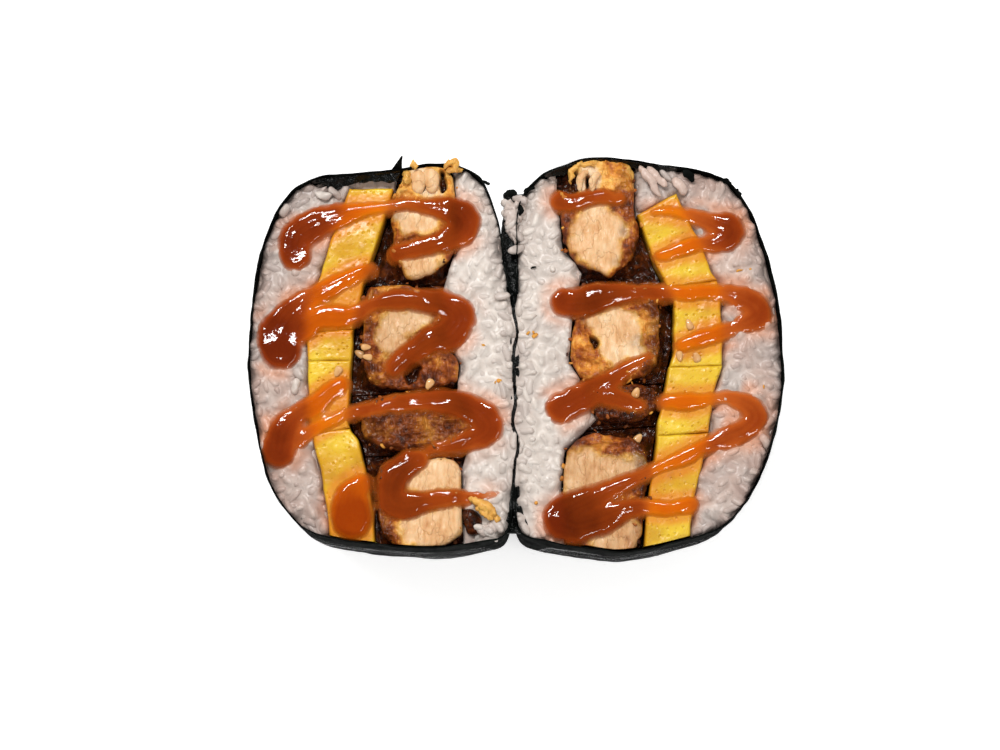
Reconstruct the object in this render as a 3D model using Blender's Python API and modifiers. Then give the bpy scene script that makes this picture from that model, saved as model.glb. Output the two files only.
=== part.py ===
"""A chicken and egg musubi, cut through the middle and opened like a book.

Both halves stand on their rounded backs with the cut faces up, side by side
along one spine. X runs across the pair, Y from the near side to the far side
and Z up. The origin is on the table, under the middle of the pair.
All lengths are metres; the plan points are written in millimetres times MM.
"""
import math
import random

import bmesh
import bpy
import numpy as np
from mathutils import Matrix, Vector, noise

MM = 0.001
CUT_HEIGHT = 46.0 * MM          # the cut faces lie this high over the table
BASE_ROUNDING = 16.0 * MM       # radius between the flat back and the sides
NORI_THICKNESS = 0.6 * MM
GAP = 0.3 * MM                  # left between any two neighbours
NORI_RISE = 0.9 * MM            # the seaweed's edge stands this far over the cut
FILM_THICKNESS = 0.35 * MM
FILM_FOOT = 15.0 * MM
FILM_TOP = CUT_HEIGHT - 1.2 * MM
FAR = 80.0 * MM                 # past every side of the food
HEADROOM = 9.0 * MM             # how far the cutting columns reach over the cut

RICE_LEVEL = CUT_HEIGHT - 0.9 * MM
GRAIN_LENGTH = 5.4 * MM
GRAIN_WIDTH = 2.7 * MM
GRAIN_PITCH = (5.8 * MM, 4.0 * MM)
GRAIN_RELIEF = 1.1 * MM
LOOSE_GRAINS = 3                # whole grains lying proud on each bed of rice
GRAIN_TRIES = 4000              # random places looked at for them
GRAIN_MARGIN = 2.9 * MM         # they keep this far from the bed's border
EGG_LEVEL = CUT_HEIGHT - 0.2 * MM
EGG_EDGE = 0.7 * MM
CHICKEN_SEAT = CUT_HEIGHT - 7.0 * MM
CHUNK_POINTS = 13
CRUST_WIDTH = 0.16              # of the way from a chunk's rim to its middle
SAUCE_FLATNESS = 0.38           # a stroke's height as a share of its width
SAUCE_LEVEL = CUT_HEIGHT - 0.1 * MM
SAUCE_BEDDING = 1.4             # mm that the rice gives way under a stroke
SAUCE_CORNER = math.radians(62)     # a sharper turn ends one run and starts the next
RUN_ON = 0.35                   # a run carries on past its corner by this share of its width
RUN_END = 0.45                  # and is this share as wide at its very end
SEED_LENGTH = 3.1 * MM
SEED_WIDTH = 1.9 * MM

# The spine, where the seaweed of the two halves meets back to back, far end first.
SPINE = MM * np.array([(-0.2, 12), (0.3, 1), (-0.4, -11), (0.2, -22), (-0.3, -33)])
SPINE_SIDE = np.array([0.35, 0.0]) * MM     # from the spine's middle to either half
LEFT_NOTCH = MM * np.array([(-7.5, 44.2), (-3.9, 33.8), (-2.6, 24.0)])
RIGHT_NOTCH = MM * np.array([(2.3, 42.6), (0.5, 36.4), (0.3, 24.0)])

# Outer edge of each half's seaweed at the cut, running on from the spine.
LEFT_OUTLINE = np.vstack([LEFT_NOTCH, SPINE - SPINE_SIDE, MM * np.array([
    (-1.8, -46.0), (-9.1, -49.1), (-22.1, -50.7), (-37.7, -49.4), (-50.7, -47.1),
    (-57.7, -42.1), (-63.7, -32.5), (-67.1, -18.2), (-69.2, -4.4), (-68.6, 10.4),
    (-66.3, 27.3), (-60.8, 40.6), (-53.0, 46.3), (-42.9, 47.6), (-32.5, 48.9),
    (-20.0, 50.7), (-11.7, 48.9)])])
RIGHT_OUTLINE = np.vstack([RIGHT_NOTCH, SPINE + SPINE_SIDE, MM * np.array([
    (0.8, -45.5), (7.8, -48.9), (16.9, -50.4), (27.3, -51.5), (41.6, -48.9),
    (53.8, -44.5), (61.4, -35.1), (66.3, -23.4), (69.2, -10.4), (69.4, 2.6),
    (67.9, 16.9), (64.7, 29.4), (60.5, 40.0), (53.8, 47.1), (37.7, 50.4),
    (20.8, 52.3), (11.7, 49.7), (6.8, 47.3)])])

# Lines between the layers, from the far side to the near side.
RICE_EGG_LEFT = MM * np.array([
    (-43.6, 44.0), (-47.8, 30.9), (-52.0, 18.2), (-54.6, 9.6), (-53.8, -1.8),
    (-53.6, -15.6), (-52.3, -21.1), (-48.1, -41.6), (-46.5, -60.0)])
EGG_CHICKEN_LEFT = MM * np.array([
    (-30.9, 60.0), (-31.6, 44.0), (-34.1, 34.6), (-39.0, 19.5), (-41.9, 6.2),
    (-42.4, -1.6), (-42.9, -18.7), (-40.0, -22.1), (-36.7, -37.7), (-35.1, -60.0)])
CHICKEN_RICE_LEFT = MM * np.array([
    (-17.7, 60.0), (-15.1, 41.6), (-15.1, 28.6), (-18.7, 16.9), (-17.2, 2.6),
    (-14.0, -2.0), (-14.8, -9.6), (-10.1, -17.0), (-13.5, -29.9), (-12.7, -60.0)])
RICE_CHICKEN_RIGHT = MM * np.array([
    (11.5, 60.0), (10.7, 44.2), (12.2, 28.6), (17.2, 22.0), (14.6, 9.0),
    (13.8, -1.8), (18.5, -9.6), (20.8, -16.5), (12.5, -25.2), (11.7, -35.1),
    (13.5, -60.0)])
CHICKEN_EGG_RIGHT = MM * np.array([
    (31.7, 60.0), (31.7, 36.9), (36.4, 24.2), (41.1, 14.3), (41.1, 2.6),
    (38.7, -7.8), (36.4, -20.8), (33.3, -41.6), (32.0, -60.0)])
EGG_RICE_RIGHT = MM * np.array([
    (42.4, 42.9), (48.4, 29.9), (51.2, 22.1), (53.8, 18.0), (54.1, -1.8),
    (51.7, -8.6), (50.2, -19.5), (46.0, -37.7), (43.9, -60.0)])

# Where one piece of a layer ends and the next starts: Y on the layer's two lines.
EGG_CUTS_LEFT = MM * np.array([(44.0, 44.0), (5.6, 6.6), (-1.8, -1.4), (-20.8, -19.2), (-60, -60)])
EGG_CUTS_RIGHT = MM * np.array([(36.9, 42.9), (17.8, 19.4), (-3.6, -2.6), (-21.2, -20.4), (-60, -60)])
CHICKEN_CUTS_LEFT = MM * np.array([(60, 60), (18.7, 19.4), (-10.1, -9.2), (-26.0, -25.6), (-60, -60)])
CHICKEN_CUTS_RIGHT = MM * np.array([(60, 60), (19.8, 19.2), (-7.4, -7.0), (-19.4, -18.0), (-60, -60)])

# The rim of each chunk of chicken at the cut.
CHICKEN_LEFT = [MM * np.array(rim) for rim in (
    [(-26.8, 50.4), (-19.5, 50.4), (-16.0, 46.0), (-15.3, 30.0), (-20.3, 22.6),
     (-27.3, 20.0), (-31.6, 28.0), (-31.4, 41.0)],
    [(-37.2, 17.7), (-28.6, 18.5), (-19.5, 14.3), (-18.2, 2.6), (-14.6, -2.0),
     (-16.8, -7.8), (-35.1, -8.6), (-39.2, -1.0), (-39.3, 10.4)],
    [(-39.6, -16.9), (-35.4, -11.2), (-19.5, -10.4), (-11.9, -13.2), (-11.0, -18.2),
     (-15.6, -24.4), (-27.3, -25.6), (-38.0, -22.1)],
    [(-34.4, -28.6), (-23.4, -26.9), (-14.8, -28.0), (-13.4, -38.0), (-13.8, -47.0),
     (-22.1, -51.0), (-31.2, -49.5), (-34.6, -41.6)])]
CHICKEN_RIGHT = [MM * np.array(rim) for rim in (
    [(11.8, 44.2), (14.5, 51.5), (27.3, 52.5), (31.4, 46.0), (32.0, 37.0),
     (31.5, 28.0), (25.2, 21.4), (17.8, 23.4), (12.9, 29.5)],
    [(16.9, 17.4), (27.3, 18.6), (35.8, 16.9), (37.4, 9.1), (36.6, -1.3),
     (32.0, -6.2), (18.2, -6.4), (14.5, -1.2), (15.1, 8.0)],
    [(19.6, -9.1), (27.3, -7.8), (35.6, -8.8), (35.4, -15.2), (28.6, -17.6), (21.4, -16.2)],
    [(13.0, -26.2), (18.2, -21.4), (29.9, -21.8), (34.2, -27.6), (33.4, -38.0),
     (31.2, -50.0), (24.0, -53.0), (14.0, -51.0), (12.4, -37.0)])]

# Each stroke of sauce is a list of X, Y and width along its middle.
SAUCE_STROKES = [MM * np.array(stroke) for stroke in (
    [(-58.2, 25.2, 7.6), (-57.0, 33.0, 7.0), (-47.0, 37.2, 5.2), (-34.0, 38.8, 3.4),
     (-21.0, 38.8, 5.6), (-13.0, 36.0, 8.8), (-16.5, 30.5, 7.4), (-30.2, 26.8, 5.4)],
    [(-37.8, 22.8, 3.8), (-48.0, 17.6, 5.8), (-58.0, 11.0, 8.2), (-62.0, 4.0, 9.2)],
    [(-57.0, 7.0, 8.6), (-48.0, 9.8, 5.8), (-36.4, 13.6, 4.4), (-24.6, 14.0, 6.0),
     (-14.8, 10.0, 8.6), (-20.0, 3.8, 7.4), (-31.0, -3.4, 5.8)],
    [(-44.4, -7.6, 5.4), (-52.4, -13.6, 5.6), (-59.6, -19.6, 8.0), (-60.6, -25.0, 8.6)],
    [(-50.8, -19.0, 4.0), (-43.0, -15.2, 3.6), (-30.0, -13.2, 5.4), (-14.2, -13.0, 7.4),
     (-7.6, -18.6, 8.0), (-14.0, -23.2, 5.4), (-22.2, -25.2, 3.4)],
    [(-24.6, -27.2, 5.2), (-31.6, -34.0, 7.4), (-28.0, -39.2, 6.6), (-15.6, -37.6, 4.2),
     (-4.4, -36.4, 2.4)],
    [(-42.4, -37.0, 8.0), (-42.2, -43.6, 11.0)],
    [(11.8, 40.3, 5.6), (20.6, 41.5, 4.8), (27.4, 41.0, 3.4)],
    [(36.4, 37.8, 2.8), (46.8, 36.4, 4.2), (55.8, 32.5, 8.6), (48.0, 29.4, 5.2),
     (37.6, 26.0, 3.6)],
    [(13.0, 13.8, 7.8), (23.4, 15.0, 7.2), (35.2, 16.3, 4.8), (48.0, 16.2, 4.6),
     (59.6, 14.4, 6.8), (62.6, 10.6, 7.4), (53.2, 5.6, 4.8), (43.0, 2.4, 3.8)],
    [(34.0, -1.2, 2.6), (24.4, -6.8, 5.8), (12.0, -13.8, 8.2)],
    [(39.2, -12.5, 4.6), (51.0, -11.6, 3.8), (59.6, -12.8, 5.6), (62.0, -17.0, 6.2),
     (50.0, -23.8, 4.8), (37.8, -29.2, 4.0), (24.8, -34.8, 5.2), (12.0, -42.2, 9.6),
     (22.2, -43.0, 7.6), (33.6, -39.8, 4.4), (45.0, -39.4, 4.6)])]
SEEDS = MM * np.array([
    (-45.8, -4.6), (-38.6, 1.8), (-38.2, -0.8), (31.2, -10.2), (45.2, 7.8),
    (42.6, -0.6), (47.0, -0.9), (31.8, -21.6), (-22.1, -8.0)])

# The film leaves each half this far from the spine; the pleat joins them at the near side.
FILM_LEAVES = 8.5 * MM
FILM_PLEAT = MM * np.array([(-1.2, -49.6), (1.0, -48.9), (4.6, -51.4)])

# The torn corner of seaweed: where it stands, and where its tip is.
NORI_SPIKE = MM * np.array([(-31.0, 48.6), (-29.8, 51.4)])
SPIKE_HEIGHT = 5.0 * MM

COLORS = {
    "nori": (0.012, 0.014, 0.013, 0.35),
    "clear_film": (0.78, 0.80, 0.82, 0.12),
    "rice": (0.70, 0.66, 0.66, 0.42),
    "egg": (0.84, 0.48, 0.07, 0.45),
    "chicken": (0.48, 0.22, 0.06, 0.50)}


def anticlockwise(outline):
    """The outline's points in anticlockwise order, seen from above."""
    x, y = np.asarray(outline, float).T
    area = np.sum(x * np.roll(y, -1) - np.roll(x, -1) * y)
    return np.asarray(outline, float)[::1 if area > 0 else -1]


def smooth_curve(points, steps, closed):
    """Catmull-Rom curve through rows of numbers, with a few steps a span."""
    rows = np.asarray(points, float)
    if closed:
        rows = np.vstack([rows[-1:], rows, rows[:2]])
    else:
        rows = np.vstack([2 * rows[0] - rows[1], rows, 2 * rows[-1] - rows[-2]])
    p0, p1, p2, p3 = (rows[k:len(rows) - 3 + k, None, :] for k in range(4))
    t = (np.arange(steps) / steps)[None, :, None]
    spans = 0.5 * (2 * p1 + (p2 - p0) * t + (2 * p0 - 5 * p1 + 4 * p2 - p3) * t ** 2
                   + (3 * p1 - p0 - 3 * p2 + p3) * t ** 3)
    curve = spans.reshape(-1, rows.shape[1])
    return curve if closed else np.vstack([curve, rows[-2]])


def even_steps(curve, count):
    """Points spaced evenly along a closed plan curve."""
    ring = np.vstack([curve, curve[:1]])
    run = np.concatenate([[0.0], np.cumsum(np.linalg.norm(np.diff(ring, axis=0), axis=1))])
    at = np.linspace(0.0, run[-1], count, endpoint=False)
    return np.column_stack([np.interp(at, run, ring[:, axis]) for axis in (0, 1)])


def shrink(outline, by):
    """The outline moved inward by one distance, each corner along its mitre."""
    ring = anticlockwise(outline)
    along = np.roll(ring, -1, axis=0) - ring
    along /= np.linalg.norm(along, axis=1)[:, None]
    inward = np.column_stack([-along[:, 1], along[:, 0]])
    before = np.roll(inward, 1, axis=0)
    spread = 1.0 + np.sum(inward * before, axis=1)
    return ring + by * (inward + before) / np.maximum(spread, 0.5)[:, None]


def half_ring(outline, count=36):
    """One half's outline at the cut, as evenly spaced points."""
    return even_steps(smooth_curve(anticlockwise(outline), 8, closed=True), count)


def standing(ring, height):
    """Plan points lifted to one height, or to a height each."""
    return np.column_stack([ring, np.broadcast_to(height, len(ring))])


def body_rings(ring, rounding, floor):
    """Rings up a half's rounded back: a quarter circle pulls each one in."""
    low, high = ring.min(axis=0), ring.max(axis=0)
    middle, reach = (low + high) / 2, (high - low) / 2
    rings = []
    for angle in np.radians((0, 28, 58, 90)):
        pull = rounding * (1 - math.sin(angle))
        height = floor + rounding * (1 - math.cos(angle))
        rings.append(standing(middle + (ring - middle) * (1 - pull / reach), height))
    return rings


def new_object(name, bm, triangles=False):
    """A mesh object from a bmesh, with its faces pointing out."""
    if triangles:
        bmesh.ops.triangulate(bm, faces=bm.faces)
    bmesh.ops.recalc_face_normals(bm, faces=bm.faces)
    mesh = bpy.data.meshes.new(name)
    bm.to_mesh(mesh)
    bm.free()
    obj = bpy.data.objects.new(name, mesh)
    bpy.context.scene.collection.objects.link(obj)
    return obj


def loft(name, rings, floor=True, lid=True):
    """A skin over rings with the same number of points, from the bottom up."""
    bm = bmesh.new()
    rows = [[bm.verts.new(point) for point in ring] for ring in rings]
    for low, high in zip(rows, rows[1:]):
        for i, vert in enumerate(low):
            bm.faces.new((low[i - 1], vert, high[i], high[i - 1]))
    if floor:
        bm.faces.new(rows[0])
    if lid:
        bm.faces.new(rows[-1])
    return new_object(name, bm)


def prism(name, outline, bottom, top):
    """A flat outline drawn up from one height to another."""
    return loft(name, [standing(outline, bottom), standing(outline, top)])


def evaluated_mesh(obj):
    """What an object's modifiers make of it, as a mesh of its own."""
    graph = bpy.context.evaluated_depsgraph_get()
    return bpy.data.meshes.new_from_object(obj.evaluated_get(graph))


def apply_modifiers(obj):
    """Keeps what the modifiers make as the object's own mesh."""
    mesh = evaluated_mesh(obj)
    obj.modifiers.clear()
    obj.data = mesh
    return obj


def is_closed(mesh):
    """Whether a mesh encloses a space, with exactly two faces at every edge."""
    bm = bmesh.new()
    bm.from_mesh(mesh)
    closed = len(bm.faces) > 3 and all(len(edge.link_faces) == 2 for edge in bm.edges)
    bm.free()
    return closed


def combine(target, operation, others):
    """One Boolean with a collection of objects, which is then removed.

    The exact solver comes first. Strokes and grains that touch along a line can
    leave its result open, and the manifold solver takes over there.
    """
    group = bpy.data.collections.new("operands")
    bpy.context.scene.collection.children.link(group)
    for other in others:
        group.objects.link(other)
    modifier = target.modifiers.new(operation.lower(), "BOOLEAN")
    modifier.operation = operation
    modifier.solver = "EXACT"
    modifier.operand_type = "COLLECTION"
    modifier.collection = group
    if not is_closed(evaluated_mesh(target)):
        modifier.solver = "MANIFOLD"
    apply_modifiers(target)
    for other in others:
        bpy.data.objects.remove(other)
    bpy.data.collections.remove(group)
    return target


def keep_largest_body(obj):
    """Drops loose scraps: only the biggest connected piece stays."""
    bm = bmesh.new()
    bm.from_mesh(obj.data)
    bmesh.ops.triangulate(bm, faces=bm.faces)
    unseen = set(bm.verts)
    bodies = []
    while unseen:
        body = [unseen.pop()]
        for vert in body:
            for edge in vert.link_edges:
                other = edge.other_vert(vert)
                if other in unseen:
                    unseen.remove(other)
                    body.append(other)
        bodies.append(body)
    bodies.sort(key=len)
    for body in bodies[:-1]:
        bmesh.ops.delete(bm, geom=body, context="VERTS")
    bm.to_mesh(obj.data)
    bm.free()
    return obj


def inside(points, outline):
    """Which plan points lie inside an outline: a ray along X crosses it an odd number of times."""
    x, y = np.asarray(points).T
    found = np.zeros(len(x), bool)
    for (ax, ay), (bx, by) in zip(outline, np.roll(outline, -1, axis=0)):
        if ay != by:
            crosses = (ay > y) != (by > y)
            found ^= crosses & (x < ax + (y - ay) * (bx - ax) / (by - ay))
    return found


def line_between(line, start, end):
    """The stretch of a layer line from one Y down to a lower Y."""
    points, heights = line[::-1], line[::-1, 1]
    ends = [(np.interp(y, heights, points[:, 0]), y) for y in (start, end)]
    middle = [p for p in line if end + 0.4 * MM < p[1] < start - 0.4 * MM]
    return np.array([ends[0], *middle, ends[1]])


def layer_pieces(first_line, second_line, cuts):
    """Outlines of the pieces of a layer, between its two lines and its cuts."""
    pieces = []
    for (first_top, second_top), (first_end, second_end) in zip(cuts, cuts[1:]):
        down = line_between(first_line, first_top, first_end)
        back = line_between(second_line, second_top, second_end)[::-1]
        pieces.append(shrink(np.vstack([down, back]), GAP / 2))
    return pieces


def grain(place, turn, tilt, length, width, height):
    """One grain or seed: a stretched ball with few sides."""
    bm = bmesh.new()
    pose = (Matrix.Translation((*place, height)) @ Matrix.Rotation(turn, 4, "Z")
            @ Matrix.Rotation(tilt, 4, "Y")
            @ Matrix.Diagonal((length / 2, width / 2, width / 2 * 0.9, 1.0)))
    bmesh.ops.create_uvsphere(bm, u_segments=5, v_segments=4, radius=1.0, matrix=pose)
    return new_object("grain", bm)


def stroke_runs(stroke):
    """A stroke split where it doubles back; both runs carry on past the corner."""
    steps = np.diff(stroke[:, :2], axis=0)
    steps /= np.linalg.norm(steps, axis=1)[:, None]
    turns = np.sum(steps[1:] * steps[:-1], axis=1) < math.cos(SAUCE_CORNER)
    corners = [0, *(np.flatnonzero(turns) + 1), len(stroke) - 1]
    runs = []
    for first, last in zip(corners, corners[1:]):
        run = stroke[first:last + 1].copy()
        run[0, :2] -= steps[first] * run[0, 2] * RUN_ON
        run[-1, :2] += steps[last - 1] * run[-1, 2] * RUN_ON
        runs.append(run)
    return runs


def sauce_run(run):
    """A flattened tube whose width follows the run, drawn in at both ends."""
    path = smooth_curve(run, 2, closed=False)
    path[[0, -1], 2] *= RUN_END
    curve = bpy.data.curves.new("stroke", "CURVE")
    curve.dimensions = "3D"
    curve.twist_mode = "Z_UP"
    curve.bevel_depth = 1.0
    curve.bevel_resolution = 1
    curve.use_fill_caps = True
    spline = curve.splines.new("POLY")
    spline.points.add(len(path) - 1)
    for point, (x, y, width) in zip(spline.points, path):
        point.co = (x, y, 0.0, 1.0)
        point.radius = width / 2
    source = bpy.data.objects.new("stroke", curve)
    bpy.context.scene.collection.objects.link(source)
    bpy.context.view_layer.update()
    graph = bpy.context.evaluated_depsgraph_get()
    bm = bmesh.new()
    bm.from_mesh(bpy.data.meshes.new_from_object(source.evaluated_get(graph)))
    bpy.data.objects.remove(source)
    bmesh.ops.remove_doubles(bm, verts=bm.verts, dist=0.05 * MM)
    flatten = Matrix.Translation((0, 0, SAUCE_LEVEL)) @ Matrix.Diagonal((1, 1, SAUCE_FLATNESS, 1))
    bmesh.ops.transform(bm, matrix=flatten, verts=bm.verts)
    return new_object("stroke", bm)


# Points along the middle of every stroke, to tell what lies under the sauce.
SAUCE_PATHS = np.vstack([smooth_curve(stroke, 4, closed=False) for stroke in SAUCE_STROKES])


def near_sauce(place, margin):
    """Whether a plan point is under a stroke of sauce or close beside it."""
    away = np.linalg.norm(SAUCE_PATHS[:, :2] - place, axis=1) - SAUCE_PATHS[:, 2] / 2
    return away.min() < margin


def toppings(outline):
    """The strokes that cross an outline, and the sesame seeds that lie on it."""
    found = []
    for run in [run for stroke in SAUCE_STROKES for run in stroke_runs(stroke)]:
        path = smooth_curve(run, 3, closed=False)
        side = np.column_stack([path[:, 2] / 2.2, np.zeros(len(path))])
        spread = np.vstack([path[:, :2] + shift for shift in
                            (0 * side, side, -side, side[:, ::-1], -side[:, ::-1])])
        if inside(spread, outline).any():
            found.append(sauce_run(run))
    for number, place in enumerate(SEEDS):
        if inside([place], outline)[0]:
            found.append(grain(place, 1.9 * number, 0.1, SEED_LENGTH, SEED_WIDTH,
                               CUT_HEIGHT + 0.5 * MM))
    return found


def rice_bed(outline, rng):
    """A block whose top is packed with bumps the size of grains.

    A grid's every second row moves along by half a step, each of its triangles
    gets a low point in its middle, and the grid's own corners are the grains' tops.
    """
    low, high = outline.min(axis=0) - 4 * MM, outline.max(axis=0) + 4 * MM
    low, high = np.maximum(low, -FAR), np.minimum(high, FAR)
    counts = np.ceil((high - low) / GRAIN_PITCH).astype(int)
    bm = bmesh.new()
    bmesh.ops.create_grid(bm, x_segments=int(counts[0]), y_segments=int(counts[1]), size=0.5)
    for vert in bm.verts:
        row = round((vert.co.y + 0.5) * counts[1])
        spot = low + (np.array(vert.co.xy) + 0.5) * (high - low)
        spot[0] += (row % 2) * GRAIN_PITCH[0] / 2 + rng.uniform(-0.8, 0.8) * MM
        spot[1] += rng.uniform(-0.5, 0.5) * MM
        wave = noise.noise(Vector((spot[0], spot[1], 0.0)) / (14 * MM))
        bump = rng.uniform(0.0, 1.0)
        if near_sauce(spot, -1.2 * MM):
            bump = -SAUCE_BEDDING
        vert.co = (*spot, RICE_LEVEL + (0.6 * wave + bump) * MM)
    bmesh.ops.triangulate(bm, faces=bm.faces, quad_method="SHORT_EDGE")
    bmesh.ops.poke(bm, faces=bm.faces, offset=-GRAIN_RELIEF)
    skirt = bmesh.ops.extrude_face_region(bm, geom=list(bm.faces))
    for element in skirt["geom"]:
        if isinstance(element, bmesh.types.BMVert):
            element.co.z = -HEADROOM
    return new_object("bed", bm)


def loose_grains(outline, interior_ring, rng):
    """Whole grains that lie proud of the bed, spread evenly and clear of the sauce."""
    low, high = outline.min(axis=0), outline.max(axis=0)
    field, wall = shrink(outline, GRAIN_MARGIN), shrink(interior_ring, GRAIN_MARGIN)
    places = []
    for _ in range(GRAIN_TRIES):
        place = np.array([rng.uniform(low[0], high[0]), rng.uniform(low[1], high[1])])
        clear = all(np.linalg.norm(place - other) > GRAIN_LENGTH for other in places)
        if (clear and inside([place], field)[0] and inside([place], wall)[0]
                and not near_sauce(place, 1.6 * MM)):
            places.append(place)
    return [grain(place, rng.uniform(0, math.pi), rng.uniform(-0.35, 0.35), GRAIN_LENGTH,
                  GRAIN_WIDTH, CUT_HEIGHT + rng.uniform(-0.2, 0.3) * MM)
            for place in places[:LOOSE_GRAINS]]


def egg_slice(outline):
    """A straight slab of rolled egg with its top edge rounded off."""
    block = shrink(outline, GAP / 2)
    bm = bmesh.new()
    base = bm.faces.new([bm.verts.new((*point, -HEADROOM)) for point in block])
    lifted = bmesh.ops.extrude_face_region(bm, geom=[base])["geom"]
    top = [face for face in lifted if isinstance(face, bmesh.types.BMFace)]
    for vert in top[0].verts:
        vert.co.z = EGG_LEVEL - EGG_EDGE * 0.6
    bmesh.ops.recalc_face_normals(bm, faces=bm.faces)
    bmesh.ops.inset_region(bm, faces=top, thickness=EGG_EDGE, depth=EGG_EDGE * 0.6)
    return new_object("slab", bm)


def chicken_chunk(rim, rng):
    """A chunk cut flat: a craggy crust stands round slightly sunken meat."""
    ring = even_steps(smooth_curve(anticlockwise(rim), 6, closed=True), CHUNK_POINTS)
    middle = ring.mean(axis=0)
    steps = ((1.02, -12.0, 0.3), (1.0, -1.5, 0.8), (1 - CRUST_WIDTH * 0.7, 0.5, 1.0),
             (1 - CRUST_WIDTH * 1.8, -0.5, 0.4))
    rings = []
    for scale, height, rough in steps:
        wobble = np.array([rng.uniform(-rough, rough) for _ in ring]) * MM
        around = middle + (ring - middle) * scale
        out = (ring - middle) / np.linalg.norm(ring - middle, axis=1)[:, None]
        heights = CUT_HEIGHT + height * MM + 0.6 * np.roll(wobble, 5)
        rings.append(standing(around + 0.5 * out * wobble[:, None], heights))
    return loft("chunk", rings)


def nori_cup(name, outline, rng):
    """One half's seaweed: an open skin over the rounded back, given its thickness."""
    ring = half_ring(outline)
    rings = body_rings(ring, BASE_ROUNDING, 0.0)
    ragged = np.array([rng.uniform(-0.5, 0.5) for _ in ring]) * MM
    far_left = np.exp(-((ring[:, 0] + 42 * MM) / (9 * MM)) ** 2) * (ring[:, 1] > 40 * MM)
    rings.append(standing(ring, CUT_HEIGHT + NORI_RISE + ragged + 2.0 * MM * far_left))
    cup = loft(name, rings, lid=False)
    solidify = cup.modifiers.new("thickness", "SOLIDIFY")
    solidify.thickness = NORI_THICKNESS
    solidify.offset = -1
    solidify.use_even_offset = True
    return apply_modifiers(cup)


def nori_spike():
    """The torn corner of seaweed that stands up at the far side."""
    foot, tip = NORI_SPIKE
    lean = Vector((*(tip - foot), SPIKE_HEIGHT + 2 * MM))
    pose = (Matrix.Translation(Vector((*foot, CUT_HEIGHT - 1.0 * MM)) + lean / 2)
            @ lean.to_track_quat("Z", "Y").to_matrix().to_4x4()
            @ Matrix.Diagonal((1.0, 0.32, 1.0, 1.0)))
    bm = bmesh.new()
    bmesh.ops.create_cone(bm, cap_ends=True, segments=5, radius1=1.7 * MM, radius2=0.2 * MM,
                          depth=lean.length, matrix=pose)
    return new_object("spike", bm)


def nori_web():
    """The strip of uncut seaweed that shows face up in the notch: part of the left half."""
    left = LEFT_NOTCH[1:] - (NORI_THICKNESS / 2, 0)
    right = RIGHT_NOTCH[1:] - (2 * GAP, 0)
    return prism("web", np.vstack([left, right[::-1]]), CUT_HEIGHT - 10 * MM, CUT_HEIGHT - 2 * MM)


def interior(outline):
    """Everything that the seaweed of one half can hold, drawn up past the cut."""
    ring = shrink(half_ring(outline), NORI_THICKNESS + GAP)
    rings = body_rings(ring, BASE_ROUNDING - NORI_THICKNESS - GAP, NORI_THICKNESS + GAP)
    rings.append(standing(ring, CUT_HEIGHT + HEADROOM))
    return loft("interior", rings), ring


def wrapped_side(outline, side):
    """The part of a half's outline that the film hugs, starting after the spine."""
    ring = shrink(half_ring(outline), -GAP - 0.1 * MM)
    ring = ring[side * ring[:, 0] > FILM_LEAVES]
    steps = np.linalg.norm(np.roll(ring, -1, axis=0) - ring, axis=1)
    return np.roll(ring, -int(np.argmax(steps)) - 1, axis=0)


def film_sleeve():
    """Clear film drawn round both halves, straight over the notch at the far side."""
    loop = np.vstack([wrapped_side(LEFT_OUTLINE, -1), FILM_PLEAT, wrapped_side(RIGHT_OUTLINE, 1)])
    wave = np.sin(np.arange(len(loop)) * 1.7)
    rings = [standing(loop, FILM_FOOT + 0.8 * MM * wave),
             standing(loop, FILM_TOP + 0.5 * MM * wave[::-1])]
    sleeve = loft("clear_film", rings, floor=False, lid=False)
    solidify = sleeve.modifiers.new("thickness", "SOLIDIFY")
    solidify.thickness = FILM_THICKNESS
    solidify.offset = 1
    solidify.use_even_offset = True
    return apply_modifiers(sleeve)


def centre_on_origin(home):
    """Slides the whole musubi until the origin is under the middle of its box."""
    points = np.vstack([[vert.co for vert in obj.data.vertices] for obj in home.objects])
    middle = (points.min(axis=0) + points.max(axis=0)) / 2
    for obj in home.objects:
        obj.data.transform(Matrix.Translation((-middle[0], -middle[1], 0.0)))


def material(name, key):
    """One plain material for one node."""
    red, green, blue, rough = COLORS[key]
    finish = bpy.data.materials.new(name)
    finish.use_nodes = True
    shader = finish.node_tree.nodes["Principled BSDF"]
    shader.inputs["Base Color"].default_value = (red, green, blue, 1.0)
    shader.inputs["Roughness"].default_value = rough
    shader.inputs["Metallic"].default_value = 0.0
    if key == "clear_film":
        shader.inputs["Alpha"].default_value = 0.35
    finish.diffuse_color = (red, green, blue, 1.0)
    return finish


def finish_node(obj, name, key, home):
    """Names a finished solid, shades it and moves it to the musubi's collection."""
    keep_largest_body(obj)
    obj.name = name
    obj.data.name = name
    obj.data.materials.clear()
    obj.data.materials.append(material(name, key))
    obj.data.shade_smooth()
    obj.data.set_sharp_from_angle(angle=math.radians(40))
    bpy.context.scene.collection.objects.unlink(obj)
    home.objects.link(obj)


def fit_to_place(core, extras, outline, space):
    """Fuses what lies on a core, then trims it to its own column of one half."""
    if extras:
        combine(core, "UNION", extras)
    column = prism("column", outline, -2 * HEADROOM, CUT_HEIGHT + HEADROOM - 1 * MM)
    combine(core, "INTERSECT", [column])
    room = space.copy()
    bpy.context.scene.collection.objects.link(room)
    return combine(core, "INTERSECT", [room])


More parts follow.
